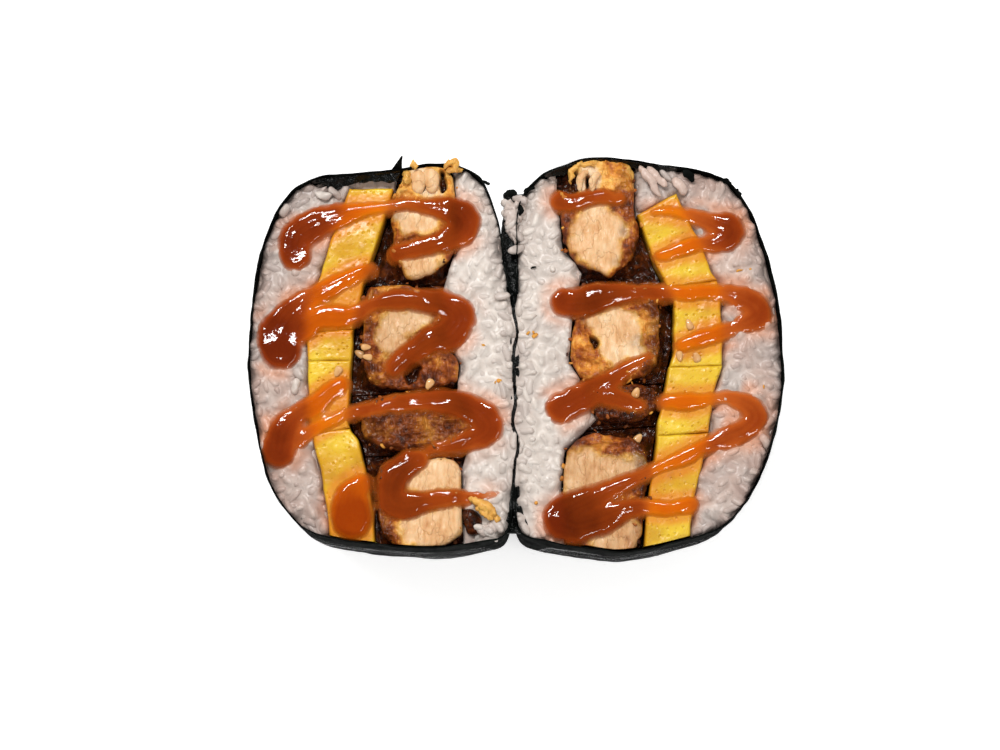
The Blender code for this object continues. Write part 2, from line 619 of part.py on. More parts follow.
def rice_columns():
    """Plan outlines of the four beds of rice, each named with its half."""
    left_far = MM * np.array([(-FAR / MM, 60.0)])
    outer_left = np.vstack([left_far, EGG_CHICKEN_LEFT[:2], RICE_EGG_LEFT, [(-FAR, -60 * MM)]])
    inner_left = np.vstack([CHICKEN_RICE_LEFT, [(6 * MM, -60 * MM), (6 * MM, 60 * MM)]])
    inner_right = np.vstack([RICE_CHICKEN_RIGHT, [(-6 * MM, -60 * MM), (-6 * MM, 60 * MM)]])
    outer_right = np.vstack([[(FAR, 60 * MM)], CHICKEN_EGG_RIGHT[:2], EGG_RICE_RIGHT,
                             [(FAR, -60 * MM)]])
    return (("rice_outer_left", outer_left), ("rice_inner_left", inner_left),
            ("rice_inner_right", inner_right), ("rice_outer_right", outer_right))


def build_half(side, outline, egg_outlines, chicken_outlines, rims, home, rng):
    """The rice, egg and chicken of one half."""
    space, ring = interior(outline)
    for name, column in rice_columns():
        if name.endswith(side):
            column = shrink(column, GAP / 2)
            near = column[np.abs(column[:, 0]) < FAR - 1 * MM]
            reach = np.vstack([near, ring[inside(ring, column)]])
            core = rice_bed(reach, rng)
            grains = loose_grains(column, ring, rng)
            bed = fit_to_place(core, toppings(column) + grains, column, space)
            finish_node(bed, name, "rice", home)
    for number, column in enumerate(egg_outlines, 1):
        slab = fit_to_place(egg_slice(column), toppings(column), column, space)
        finish_node(slab, f"egg_{side}_{number}", "egg", home)
    for number, (column, rim) in enumerate(zip(chicken_outlines, rims), 1):
        low, high = column.min(axis=0) - 5 * MM, column.max(axis=0) + 5 * MM
        corners = np.array([low, (high[0], low[1]), high, (low[0], high[1])])
        seat = prism("seat", corners, -HEADROOM, CHICKEN_SEAT)
        chunk = chicken_chunk(rim, rng)
        piece = fit_to_place(seat, [chunk] + toppings(rim), column, space)
        finish_node(piece, f"chicken_{side}_{number}", "chicken", home)
    bpy.data.objects.remove(space)


def build():
    """Clears the scene and makes the whole musubi."""
    for old in list(bpy.data.objects):
        bpy.data.objects.remove(old)
    home = bpy.data.collections.new("chicken_and_egg_musubi")
    bpy.context.scene.collection.children.link(home)
    rng = random.Random(7)
    build_half("left", LEFT_OUTLINE,
               layer_pieces(RICE_EGG_LEFT, EGG_CHICKEN_LEFT, EGG_CUTS_LEFT),
               layer_pieces(EGG_CHICKEN_LEFT, CHICKEN_RICE_LEFT, CHICKEN_CUTS_LEFT),
               CHICKEN_LEFT, home, rng)
    build_half("right", RIGHT_OUTLINE,
               layer_pieces(CHICKEN_EGG_RIGHT, EGG_RICE_RIGHT, EGG_CUTS_RIGHT),
               layer_pieces(RICE_CHICKEN_RIGHT, CHICKEN_EGG_RIGHT, CHICKEN_CUTS_RIGHT),
               CHICKEN_RIGHT, home, rng)
    nori = combine(nori_cup("nori_left", LEFT_OUTLINE, rng), "UNION", [nori_web(), nori_spike()])
    finish_node(nori, "nori_left", "nori", home)
    finish_node(nori_cup("nori_right", RIGHT_OUTLINE, rng), "nori_right", "nori", home)
    finish_node(film_sleeve(), "clear_film", "clear_film", home)
    centre_on_origin(home)


build()
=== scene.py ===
# %% [markdown]
# # A chicken and egg musubi, cut and opened
#
# The real thing is a rice sandwich in one sheet of seaweed and one sheet of
# clear film. It was cut through the middle and opened like a book, so both cut
# faces look up: rice, omelette, fried chicken, rice, with sauce drizzled over.
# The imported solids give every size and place. This lesson dresses them: each
# piece is a surface worked out with numpy, and stays in the space of its solid.

# %% Load the frame
import itertools
import math

import bpy
import numpy as np
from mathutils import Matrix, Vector


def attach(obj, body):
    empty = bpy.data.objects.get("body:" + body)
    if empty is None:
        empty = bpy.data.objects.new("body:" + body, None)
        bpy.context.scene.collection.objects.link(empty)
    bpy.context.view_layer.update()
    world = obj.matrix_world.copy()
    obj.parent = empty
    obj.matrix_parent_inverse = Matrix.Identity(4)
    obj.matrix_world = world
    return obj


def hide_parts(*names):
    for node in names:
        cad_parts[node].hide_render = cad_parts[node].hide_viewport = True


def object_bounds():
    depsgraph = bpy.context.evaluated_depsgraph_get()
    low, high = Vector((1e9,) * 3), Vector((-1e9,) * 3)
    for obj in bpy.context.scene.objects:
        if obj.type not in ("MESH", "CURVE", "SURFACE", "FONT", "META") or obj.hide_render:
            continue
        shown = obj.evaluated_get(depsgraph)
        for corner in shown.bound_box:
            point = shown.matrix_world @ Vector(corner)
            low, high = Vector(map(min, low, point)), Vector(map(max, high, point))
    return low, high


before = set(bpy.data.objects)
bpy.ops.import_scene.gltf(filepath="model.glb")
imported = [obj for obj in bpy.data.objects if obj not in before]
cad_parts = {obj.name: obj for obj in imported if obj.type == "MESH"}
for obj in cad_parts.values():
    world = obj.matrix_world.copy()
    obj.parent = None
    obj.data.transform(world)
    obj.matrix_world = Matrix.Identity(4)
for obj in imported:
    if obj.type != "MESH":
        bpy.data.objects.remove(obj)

cad_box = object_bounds()
print("CAD box", [[round(1000 * float(v), 1) for v in corner] for corner in cad_box])

# %% [markdown]
# ## Sizes
#
# The plan is read from the photograph once, in millimetres from the middle of
# the spine, and used by every piece. It could be a drawing imported from a
# file, but a few named lines keep the lesson whole. The lines are those of the
# solids: the seaweed's outline, the borders of the layers and the cuts across.

# %% Driving sizes
MM = 0.001
PLAN_MIDDLE = np.array([0.1854, 0.3445]) * MM    # the solids were centred by this much
CUT = 46.0 * MM
ROUNDING = 16.0 * MM
NORI = 0.35 * MM
WALL = 1.0 * MM              # seaweed, gap and a little play, in from the outline
RICE_LEVEL = CUT - 1.5 * MM
EGG_LEVEL = CUT - 0.2 * MM
GAP_FLOOR = CUT - 6.0 * MM   # how deep the dark clefts beside the chicken go
GRAIN = np.array([4.7, 2.35, 2.1]) * MM
SPREAD = 0.8 * MM            # how far the sauce runs out past its measured strokes
CELL = 0.3 * MM              # step of the height map under the sauce


def plan(points):
    """Plan points in metres, about the same origin as the solids."""
    return MM * np.array(points, float) - PLAN_MIDDLE


SPINE = [(-0.2, 12), (0.3, 1), (-0.4, -11), (0.2, -22), (-0.3, -33)]
LEFT_OUTLINE = plan([(-7.5, 44.2), (-3.9, 33.8), (-2.6, 24.0)] + [(x - 0.3, y) for x, y in SPINE] + [
    (-1.8, -46.0), (-9.1, -49.1), (-22.1, -50.7), (-37.7, -49.4), (-50.7, -47.1),
    (-57.7, -42.1), (-63.7, -32.5), (-67.1, -18.2), (-69.2, -4.4), (-68.6, 10.4),
    (-66.3, 27.3), (-60.8, 40.6), (-53.0, 46.3), (-42.9, 47.6), (-32.5, 48.9),
    (-20.0, 50.7), (-11.7, 48.9)])
RIGHT_OUTLINE = plan([(2.3, 42.6), (0.5, 36.4), (0.3, 24.0)] + [(x + 0.3, y) for x, y in SPINE] + [
    (0.8, -45.5), (7.8, -48.9), (16.9, -50.4), (27.3, -51.5), (41.6, -48.9),
    (53.8, -44.5), (61.4, -35.1), (66.3, -23.4), (69.2, -10.4), (69.4, 2.6),
    (67.9, 16.9), (64.7, 29.4), (60.5, 40.0), (53.8, 47.1), (37.7, 50.4),
    (20.8, 52.3), (11.7, 49.7), (6.8, 47.3)])

# %% Lines between the layers, far side first
RICE_EGG_LEFT = plan([
    (-43.6, 44.0), (-47.8, 30.9), (-52.0, 18.2), (-54.6, 9.6), (-53.8, -1.8),
    (-53.6, -15.6), (-52.3, -21.1), (-48.1, -41.6), (-46.5, -60.0)])
EGG_CHICKEN_LEFT = plan([
    (-30.9, 60.0), (-31.6, 44.0), (-34.1, 34.6), (-39.0, 19.5), (-41.9, 6.2),
    (-42.4, -1.6), (-42.9, -18.7), (-40.0, -22.1), (-36.7, -37.7), (-35.1, -60.0)])
CHICKEN_RICE_LEFT = plan([
    (-17.7, 60.0), (-15.1, 41.6), (-15.1, 28.6), (-18.7, 16.9), (-17.2, 2.6),
    (-14.0, -2.0), (-14.8, -9.6), (-10.1, -17.0), (-13.5, -29.9), (-12.7, -60.0)])
RICE_CHICKEN_RIGHT = plan([
    (11.5, 60.0), (10.7, 44.2), (12.2, 28.6), (17.2, 22.0), (14.6, 9.0),
    (13.8, -1.8), (18.5, -9.6), (20.8, -16.5), (12.5, -25.2), (11.7, -35.1),
    (13.5, -60.0)])
CHICKEN_EGG_RIGHT = plan([
    (31.7, 60.0), (31.7, 36.9), (36.4, 24.2), (41.1, 14.3), (41.1, 2.6),
    (38.7, -7.8), (36.4, -20.8), (33.3, -41.6), (32.0, -60.0)])
EGG_RICE_RIGHT = plan([
    (42.4, 42.9), (48.4, 29.9), (51.2, 22.1), (53.8, 18.0), (54.1, -1.8),
    (51.7, -8.6), (50.2, -19.5), (46.0, -37.7), (43.9, -60.0)])

# %% Cuts across the layers, as Y on the layer's first and second line
def cuts(pairs):
    """Y values in metres about the solids' origin."""
    return MM * np.array(pairs, float) - PLAN_MIDDLE[1]


EGG_CUTS_LEFT = cuts([(44.0, 44.0), (5.6, 6.6), (-1.8, -1.4), (-20.8, -19.2), (-60, -60)])
EGG_CUTS_RIGHT = cuts([(36.9, 42.9), (17.8, 19.4), (-3.6, -2.6), (-21.2, -20.4), (-60, -60)])
CHICKEN_CUTS_LEFT = cuts([(60, 60), (18.7, 19.4), (-10.1, -9.2), (-26.0, -25.6), (-60, -60)])
CHICKEN_CUTS_RIGHT = cuts([(60, 60), (19.8, 19.2), (-7.4, -7.0), (-19.4, -18.0), (-60, -60)])

# %% [markdown]
# ## Shared tools
#
# Everything organic here is noise of some kind: crust, pores, wrinkles. Blender
# has noise for materials, but a shape that shows in the mesh needs its own, so
# a small value noise is written with whole arrays: random numbers sit on the
# corners of a lattice and are blended smoothly in between.

# %% Noise on arrays
def corner_values(cells, seed):
    """A repeatable number from 0 to 1 for each whole-number lattice cell."""
    primes = np.array([73856093, 19349663, 83492791])[:cells.shape[-1]]
    mixed = (cells * primes).sum(axis=-1) + seed * 2654435761
    mixed = (mixed ^ (mixed >> 13)) * 1274126177
    return ((mixed ^ (mixed >> 16)) & 0xFFFFFF) / 0xFFFFFF


def noise(points, size, seed=0):
    """Value noise from -1 to 1: corner values blended by a smooth step in each direction."""
    scaled = np.asarray(points) / size
    base = np.floor(scaled).astype(np.int64)
    blend = scaled - base
    blend = blend * blend * (3 - 2 * blend)
    total = np.zeros(base.shape[:-1])
    for corner in itertools.product((0, 1), repeat=base.shape[-1]):
        weight = np.prod(np.where(corner, blend, 1 - blend), axis=-1)
        total += weight * corner_values(base + np.array(corner), seed)
    return 2 * total - 1


def rough(points, size, octaves=3, seed=0):
    """Noise added to itself at half the size and half the height, a few times over."""
    return sum(noise(points, size / 2 ** k, seed + 7 * k) / 2 ** k for k in range(octaves))


def ridged(points, size, octaves=3, seed=0):
    """Sharp crests where the noise crosses zero, from 0 in the hollows to about 1."""
    layers = ((1 - np.abs(noise(points, size / 2 ** k, seed + 7 * k))) ** 2 / 2 ** k
              for k in range(octaves))
    return sum(layers) / 1.75


def nearest_spot(points, size, seed=0):
    """Distance to the nearest of one random spot a cell, in cells, and that spot's number."""
    scaled = np.asarray(points) / size
    base = np.floor(scaled).astype(np.int64)
    best = np.full(base.shape[:-1], 9.0)
    number = np.zeros(base.shape[:-1])
    for step in itertools.product((-1, 0, 1), repeat=2):
        cell = base + np.array(step)
        spot = cell + np.stack([corner_values(cell, seed), corner_values(cell, seed + 1)], axis=-1)
        away = np.linalg.norm(scaled - spot, axis=-1)
        number = np.where(away < best, corner_values(cell, seed + 2), number)
        best = np.minimum(best, away)
    return best, number


def smoothstep(low, high, value):
    """0 below low, 1 above high, and an S-curve between."""
    t = np.clip((value - low) / (high - low), 0, 1)
    return t * t * (3 - 2 * t)


def shaken(points, amount, size, octaves=2, seed=0, step=1):
    """Points pushed by three noises, one for each axis."""
    push = [rough(points, size, octaves, seed + step * axis) for axis in range(3)]
    return points + amount * np.stack(push, axis=-1)


# %% Curves and outlines
def smooth_curve(points, steps, closed):
    """Catmull-Rom curve through rows of numbers, with a few steps a span."""
    rows = np.asarray(points, float)
    if closed:
        rows = np.vstack([rows[-1:], rows, rows[:2]])
    else:
        rows = np.vstack([2 * rows[0] - rows[1], rows, 2 * rows[-1] - rows[-2]])
    p0, p1, p2, p3 = (rows[k:len(rows) - 3 + k, None, :] for k in range(4))
    t = (np.arange(steps) / steps)[None, :, None]
    spans = 0.5 * (2 * p1 + (p2 - p0) * t + (2 * p0 - 5 * p1 + 4 * p2 - p3) * t ** 2
                   + (3 * p1 - p0 - 3 * p2 + p3) * t ** 3)
    curve = spans.reshape(-1, rows.shape[1])
    return curve if closed else np.vstack([curve, rows[-2]])


def unit(vectors):
    """The same directions with a length of 1."""
    return vectors / np.linalg.norm(vectors, axis=-1)[..., None]


def even_steps(curve, count):
    """Points spaced evenly along a closed curve."""
    ring = np.vstack([curve, curve[:1]])
    run = np.concatenate([[0.0], np.cumsum(np.linalg.norm(np.diff(ring, axis=0), axis=1))])
    at = np.linspace(0.0, run[-1], count, endpoint=False)
    return np.column_stack([np.interp(at, run, ring[:, axis]) for axis in (0, 1)])


def anticlockwise(outline):
    """The outline's points in anticlockwise order, seen from above."""
    x, y = np.asarray(outline).T
    area = np.sum(x * np.roll(y, -1) - np.roll(x, -1) * y)
    return np.asarray(outline)[::1 if area > 0 else -1]


def closed_curve(points, steps=6):
    """A smooth closed curve through plan points in millimetres, anticlockwise."""
    return smooth_curve(anticlockwise(plan(points)), steps, closed=True)


def depth_inside(points, outline):
    """Distance to an outline, positive inside it: nearest side, signed by crossings of a ray."""
    shape = points.shape[:-1]
    flat = points.reshape(-1, 2)
    nearest = np.full(len(flat), np.inf)
    inside = np.zeros(len(flat), bool)
    for a, b in zip(outline, np.roll(outline, -1, axis=0)):
        side = b - a
        along = np.clip(((flat - a) @ side) / max(side @ side, 1e-18), 0, 1)
        nearest = np.minimum(nearest, np.linalg.norm(flat - a - along[:, None] * side, axis=1))
        if a[1] != b[1]:
            crosses = (a[1] > flat[:, 1]) != (b[1] > flat[:, 1])
            inside ^= crosses & (flat[:, 0] < a[0] + (flat[:, 1] - a[1]) * side[0] / side[1])
    return np.where(inside, nearest, -nearest).reshape(shape)


def eased(line):
    """A layer line as X for any Y, its corners eased over a few millimetres."""
    y = np.linspace(line[-1, 1], line[0, 1], 400)
    x = np.interp(y, line[::-1, 1], line[::-1, 0])
    reach = 9
    window = np.hanning(2 * reach + 1)
    x = np.convolve(np.pad(x, reach, mode="edge"), window / window.sum(), mode="valid")
    return lambda at: np.interp(at, y, x)


# %% Meshes from arrays
def grid_faces(rows, columns, around=True, first=0):
    """Quads over a grid of points stored row by row; each row may close on itself."""
    row = np.arange(rows - 1)[:, None] * columns
    column = np.arange(columns if around else columns - 1)[None, :]
    after = (column + 1) % columns
    quads = np.stack([row + column, row + after, row + columns + after, row + columns + column], axis=-1)
    return first + quads.reshape(-1, 4)


def fan_faces(ring, pole, upward):
    """Triangles from a ring of point numbers to one pole."""
    after = np.roll(ring, -1)
    pair = (ring, after) if upward else (after, ring)
    return np.column_stack([*pair, np.full(len(ring), pole)])


def piece(name, points, faces, finish, slot, replaced=(), **attributes):
    """A mesh object from arrays, riding on the root body, with its finish and values a point."""
    mesh = bpy.data.meshes.new(name)
    mesh.from_pydata(points, [], [face for block in faces for face in block.tolist()])
    mesh.polygons.foreach_set("use_smooth", np.ones(len(mesh.polygons), bool))
    for key, values in attributes.items():
        layer = mesh.attributes.new(key, "FLOAT", "POINT")
        layer.data.foreach_set("value", np.asarray(values, np.float32).ravel())
    mesh.materials.append(finish)
    mesh.update()
    obj = bpy.data.objects.new(name, mesh)
    bpy.context.scene.collection.objects.link(obj)
    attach(obj, "root")
    if replaced:
        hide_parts(*replaced)
    triangles = sum(len(face.vertices) - 2 for face in mesh.polygons)
    print(f"{name}: {triangles} triangles")
    return obj


def stack(name, rings, finish, slot, replaced=(), **attributes):
    """Closed skin over rings listed from the middle of the top, down the side, to the base.

    A pole at each end is the mean of its ring, so both ends are closed fans.
    """
    count = rings.shape[1]
    points = rings.reshape(-1, 3)
    poles = np.array([rings[0].mean(axis=0), rings[-1].mean(axis=0)])
    first = np.arange(count)
    last = first + (len(rings) - 1) * count
    faces = [grid_faces(len(rings), count)[:, ::-1],
             fan_faces(first, len(points), True), fan_faces(last, len(points) + 1, False)]
    values = {key: np.concatenate([value.ravel(), value[0].mean(keepdims=True),
                                   value[-1].mean(keepdims=True)])
              for key, value in attributes.items()}
    return piece(name, np.vstack([points, poles]), faces, finish, slot, replaced, **values)


def sheet(name, points, finish, slot, replaced, thickness, around=False, offset=0):
    """A grid of points as an open skin or a sleeve, made solid by a live Solidify."""
    faces = [grid_faces(*points.shape[:2], around=around)]
    obj = piece(name, points.reshape(-1, 3), faces, finish, slot, replaced)
    solid = obj.modifiers.new("thickness", "SOLIDIFY")
    solid.thickness = thickness
    solid.offset = offset
    return obj


# %% [markdown]
# ## Shader maths
#
# A material here is a sum of noises and masks. Linking Math nodes by hand hides
# that sum, so one small class wraps a socket and turns + - * into nodes.

# %% One socket, one material
class Value:
    """A shader socket that takes part in Python sums."""

    def __init__(self, finish, socket):
        self.finish, self.socket = finish, socket

    def __add__(self, other):
        return self.finish.math("ADD", self, other)

    def __mul__(self, other):
        return self.finish.math("MULTIPLY", self, other)

    def __sub__(self, other):
        return self.finish.math("SUBTRACT", self, other)

    def __rsub__(self, other):
        return self.finish.math("SUBTRACT", other, self)

    __radd__, __rmul__ = __add__, __mul__


def srgb(red, green, blue):
    """A colour read from a picture, 0 to 255, as the linear colour that Blender mixes."""
    values = np.array([red, green, blue]) / 255
    linear = np.where(values <= 0.04045, values / 12.92, ((values + 0.055) / 1.055) ** 2.4)
    return (*(float(value) for value in linear), 1.0)


class Finish:
    """One material: constants on its Principled shader, and nodes for what varies."""

    def __init__(self, name, **constants):
        self.material = bpy.data.materials.new(name)
        self.material.use_nodes = True
        self.tree = self.material.node_tree
        self.shader = self.tree.nodes["Principled BSDF"]
        for key, value in constants.items():
            self.shader.inputs[key.replace("_", " ")].default_value = value
        self.place = self.node("ShaderNodeTexCoord", out="Object")

    def node(self, kind, settings=(), sockets=(), out=0):
        """Any node: its settings first, then the value or link of each socket."""
        node = self.tree.nodes.new(kind)
        for key, value in dict(settings).items():
            if key == "stops":
                for stop in range(len(value) - 2):
                    node.color_ramp.elements.new(0.5)
                for element, (at, color) in zip(node.color_ramp.elements, value):
                    element.position = at
                    element.color = color
            else:
                setattr(node, key, value)
        for key, value in dict(sockets).items():
            self.link(value, node.inputs[key])
        return Value(self, node.outputs[out])

    def link(self, value, socket):
        """A value goes to a socket as a link, a number or a colour."""
        if isinstance(value, Value):
            self.tree.links.new(value.socket, socket)
        else:
            socket.default_value = value

    def math(self, operation, *values):
        return self.node("ShaderNodeMath", {"operation": operation}, enumerate(values))

    def mix(self, share, first, second):
        """A colour between two colours."""
        return self.node("ShaderNodeMix", {"data_type": "RGBA"}, {0: share, 6: first, 7: second}, out=2)

    def ramp(self, share, *stops):
        return self.node("ShaderNodeValToRGB", {"stops": stops}, {0: share})

    def band(self, value, low, high):
        """0 below low, 1 above high, in a straight line between."""
        return self.node("ShaderNodeMapRange", {"clamp": True}, {0: value, 1: low, 2: high})

    def grain(self, size, detail=3.0, place=None):
        """Noise from 0 to 1 whose spots are about this many metres across."""
        return self.node("ShaderNodeTexNoise", {}, {"Vector": place or self.place, "Scale": 0.5 / size,
                                                    "Detail": detail})

    def spots(self, size, place=None):
        """Distance to the nearest of many scattered spots."""
        return self.node("ShaderNodeTexVoronoi", {}, {"Vector": place or self.place, "Scale": 1 / size})

    def value(self, name):
        """A number that the mesh carries at each point."""
        return self.node("ShaderNodeAttribute", {"attribute_name": name}, out="Fac")

    def stretched(self, x, y, z):
        """Object coordinates, longer along an axis where its factor is small."""
        return self.node("ShaderNodeVectorMath", {"operation": "MULTIPLY"}, {0: self.place, 1: (x, y, z)})

    def relief(self, height, depth):
        """A Bump node on the shader's Normal: height is 0 to 1, depth is in metres."""
        bump = self.node("ShaderNodeBump", {}, {"Height": height, "Distance": depth, "Strength": 1.0})
        self.link(bump, self.shader.inputs["Normal"])

    def set(self, **sockets):
        """Links what varies over the surface."""
        for key, value in sockets.items():
            self.link(value, self.shader.inputs[key.replace("_", " ")])
        return self.material


# %% [markdown]
# ## The half as a cup
#
# Each half is a cup of seaweed: its outline at the cut stays upright to the
# rounding of the back, where a quarter circle pulls it in. Every layer inside
# has to stop at that cup, also down in the rounding, so the cup is a small
# class that knows its ring at any height and pulls stray points back inside.

# %% The cup
class Cup:
    """One half's seaweed: its ring at the cut, and how the ring draws in below."""

    def __init__(self, outline, count=480):
        self.ring = even_steps(smooth_curve(anticlockwise(outline), 24, closed=True), count)
        low, high = self.ring.min(axis=0), self.ring.max(axis=0)
        self.middle, self.reach = (low + high) / 2, (high - low) / 2
        away = self.ring - self.middle
        angle = np.arctan2(away[:, 1], away[:, 0])
        order = np.argsort(angle)
        self.angles, self.radii = angle[order], np.linalg.norm(away, axis=1)[order]

    def shrinkage(self, height, wall):
        """How far the ring is pulled in at a height: the wall, and a quarter circle near the base."""
        drop = np.clip(1 - (height - wall) / (ROUNDING - wall), 0, 1)
        return wall + (ROUNDING - wall) * (1 - np.sqrt(1 - drop ** 2))

    def at(self, height, wall=0.0):
        """The ring at one height, as points in space."""
        scale = 1 - self.shrinkage(height, wall) / self.reach
        flat = self.middle + (self.ring - self.middle) * scale
        return np.column_stack([flat, np.full(len(flat), height)])

    def hold(self, points, wall=WALL):
        """Points moved straight in towards the middle until they are inside the cup."""
        scale = 1 - self.shrinkage(points[..., 2:3], wall) / self.reach
        away = (points[..., :2] - self.middle) / scale
        angle = np.arctan2(away[..., 1], away[..., 0])
        limit = np.interp(angle, self.angles, self.radii, period=2 * math.pi)
        shrink = np.minimum(1, limit / np.maximum(np.linalg.norm(away, axis=-1), 1e-9))
        held = points.copy()
        held[..., :2] = self.middle + away * scale * shrink[..., None]
        return held


def near_spine(points):
    """1 along the stretch where the two halves press together, 0 elsewhere."""
    x, y = points[..., 0], points[..., 1]
    along = smoothstep(-42 * MM, -36 * MM, y) * smoothstep(16 * MM, 11 * MM, y)
    return along * smoothstep(5.5 * MM, 3.5 * MM, np.abs(x))


def fold_width(points):
    """How far the seaweed leans in over the rice along the far side of each half."""
    x, y = points[..., 0], points[..., 1]
    left = smoothstep(-55 * MM, -49 * MM, x) * smoothstep(-29 * MM, -32 * MM, x)
    right = smoothstep(6 * MM, 10 * MM, x) * smoothstep(46 * MM, 34 * MM, x)
    return (2.5 * MM * left + 1.3 * MM * right) * (y > 38 * MM)


left_cup, right_cup = Cup(LEFT_OUTLINE), Cup(RIGHT_OUTLINE)
print("halves", *(np.round(2000 * cup.reach, 1) for cup in (left_cup, right_cup)), "mm")

# %% [markdown]
# ## Seaweed
#
# Roasted seaweed is black-green and thin as paper. Wet rice softens it, so it
# clings in shallow wrinkles and its cut edge is a ragged dark line. It could be
# cloth, but it is stuck down all over, so noise on the cup's wall is truer.

# %% Seaweed finish
def nori_finish(name, gloss, dullness, crinkle):
    """Near black with a green cast, fine pressed fibres and a sheen that depends on how wet it is."""
    finish = Finish(name, Specular_IOR_Level=gloss)
    mottle = finish.grain(3.0 * MM, 4.0)
    fibre = finish.grain(0.5 * MM, 3.0, finish.stretched(1.0, 1.0, 0.35))
    color = finish.mix(finish.band(mottle, 0.35, 0.7), srgb(7, 8, 8), srgb(24, 27, 25))
    finish.relief(fibre * 0.5 + mottle * 0.5, crinkle)
    return finish.set(Base_Color=color, Roughness=dullness + fibre * 0.3)


NORI_FINISH = nori_finish("seaweed", 0.003, 0.5, 0.4 * MM)
WET_NORI = nori_finish("wet_seaweed", 0.4, 0.12, 1.2 * MM)

# %% Both cups of seaweed
def nori_cup(side, cup, seed):
    """One closed skin: from the floor up the inside to the rim, then down the outside to the base.

    Both walls are the same rings, one thickness apart, pushed along the wall's own
    direction by one noise.
    """
    heights = np.concatenate([ROUNDING * (1 - np.cos(np.linspace(0, math.pi / 2, 12))),
                              np.linspace(ROUNDING, CUT, 34)[1:]])
    share = smoothstep(0.7 * CUT, CUT, heights)
    outward = unit(cup.ring - cup.middle)
    rim = 0.7 * MM + 0.45 * MM * rough(cup.ring, 5 * MM, 3, seed) - 3.2 * MM * near_spine(cup.ring)
    torn = np.exp(-((cup.ring[:, 0] + 42 * MM) / (9 * MM)) ** 2) * (cup.ring[:, 1] > 38 * MM)
    rim = rim + 1.6 * MM * torn
    skins = []
    for wall in (0.0, NORI):
        rings = np.stack([cup.at(height, 0.0) for height in heights])
        wrinkle = 0.32 * MM * rough(rings, 7 * MM, 3, seed) - 0.1 * MM
        wrinkle = wrinkle * smoothstep(2 * MM, 10 * MM, heights)[:, None] - wall
        rings[..., :2] += outward * wrinkle[..., None]
        rings[..., 2] += rim * share[:, None] + wall * (1 - smoothstep(0, ROUNDING, heights))[:, None]
        skins.append(rings)
    outside, inside = skins
    edge = (outside[-1:] + inside[-1:]) / 2 + (0, 0, 0.15 * MM)
    rings = np.concatenate([outside, edge, inside[::-1]])[::-1]
    core = [cup.middle + (ring[:, :2] - cup.middle) * 0.5 for ring in (rings[0], rings[-1])]
    ends = [np.column_stack([flat, ring[:, 2]]) for flat, ring in zip(core, (rings[0], rings[-1]))]
    return stack(f"seaweed_{side}", np.concatenate([ends[:1], rings, ends[1:]]), NORI_FINISH, "nori",
                 (f"nori_{side}",))


nori_cup("left", left_cup, 3)
nori_cup("right", right_cup, 9)

# %% Seaweed that leans in over the rice at the far side
def nori_fold(name, cup, replaced, seed):
    """From the rim, in by the fold's width and down: across is 0 at the rim and 1 on the rice."""
    ring = np.roll(cup.ring, -np.argmin(cup.ring[:, 1]), axis=0)
    ring = ring[fold_width(ring) > 0.25 * MM]
    inward = unit(cup.middle - ring)
    across = np.linspace(0, 1, 22)[None, :, None]
    width = fold_width(ring) * (1 + 0.4 * rough(ring, 4 * MM, 3, seed))
    flat = ring[:, None] + inward[:, None] * (NORI + across * width[:, None, None])
    ripple = rough(flat * (1.0, 0.6), 1.8 * MM, 3, seed) * smoothstep(0, 0.3, across[..., 0])
    z = CUT + 0.5 * MM - 1.5 * MM * across[..., 0] ** 0.8 + 0.7 * MM * ripple
    return sheet(name, np.dstack([flat, z]), WET_NORI, "nori", (replaced,), 0.3 * MM)


nori_fold("nori_fold_left", left_cup, "nori_left", 5)
nori_fold("nori_fold_right", right_cup, "nori_right", 6)

# %% [markdown]
# ## The plan as a map
#
# Sauce lies on whatever is below it and stains the rice beside it, so two maps
# of the plan are kept on one lattice: how deep a point is inside a stroke of
# sauce, and how high the food stands there. Each stroke is a row of discs
# along its middle, and a point's depth is its best depth in any disc.

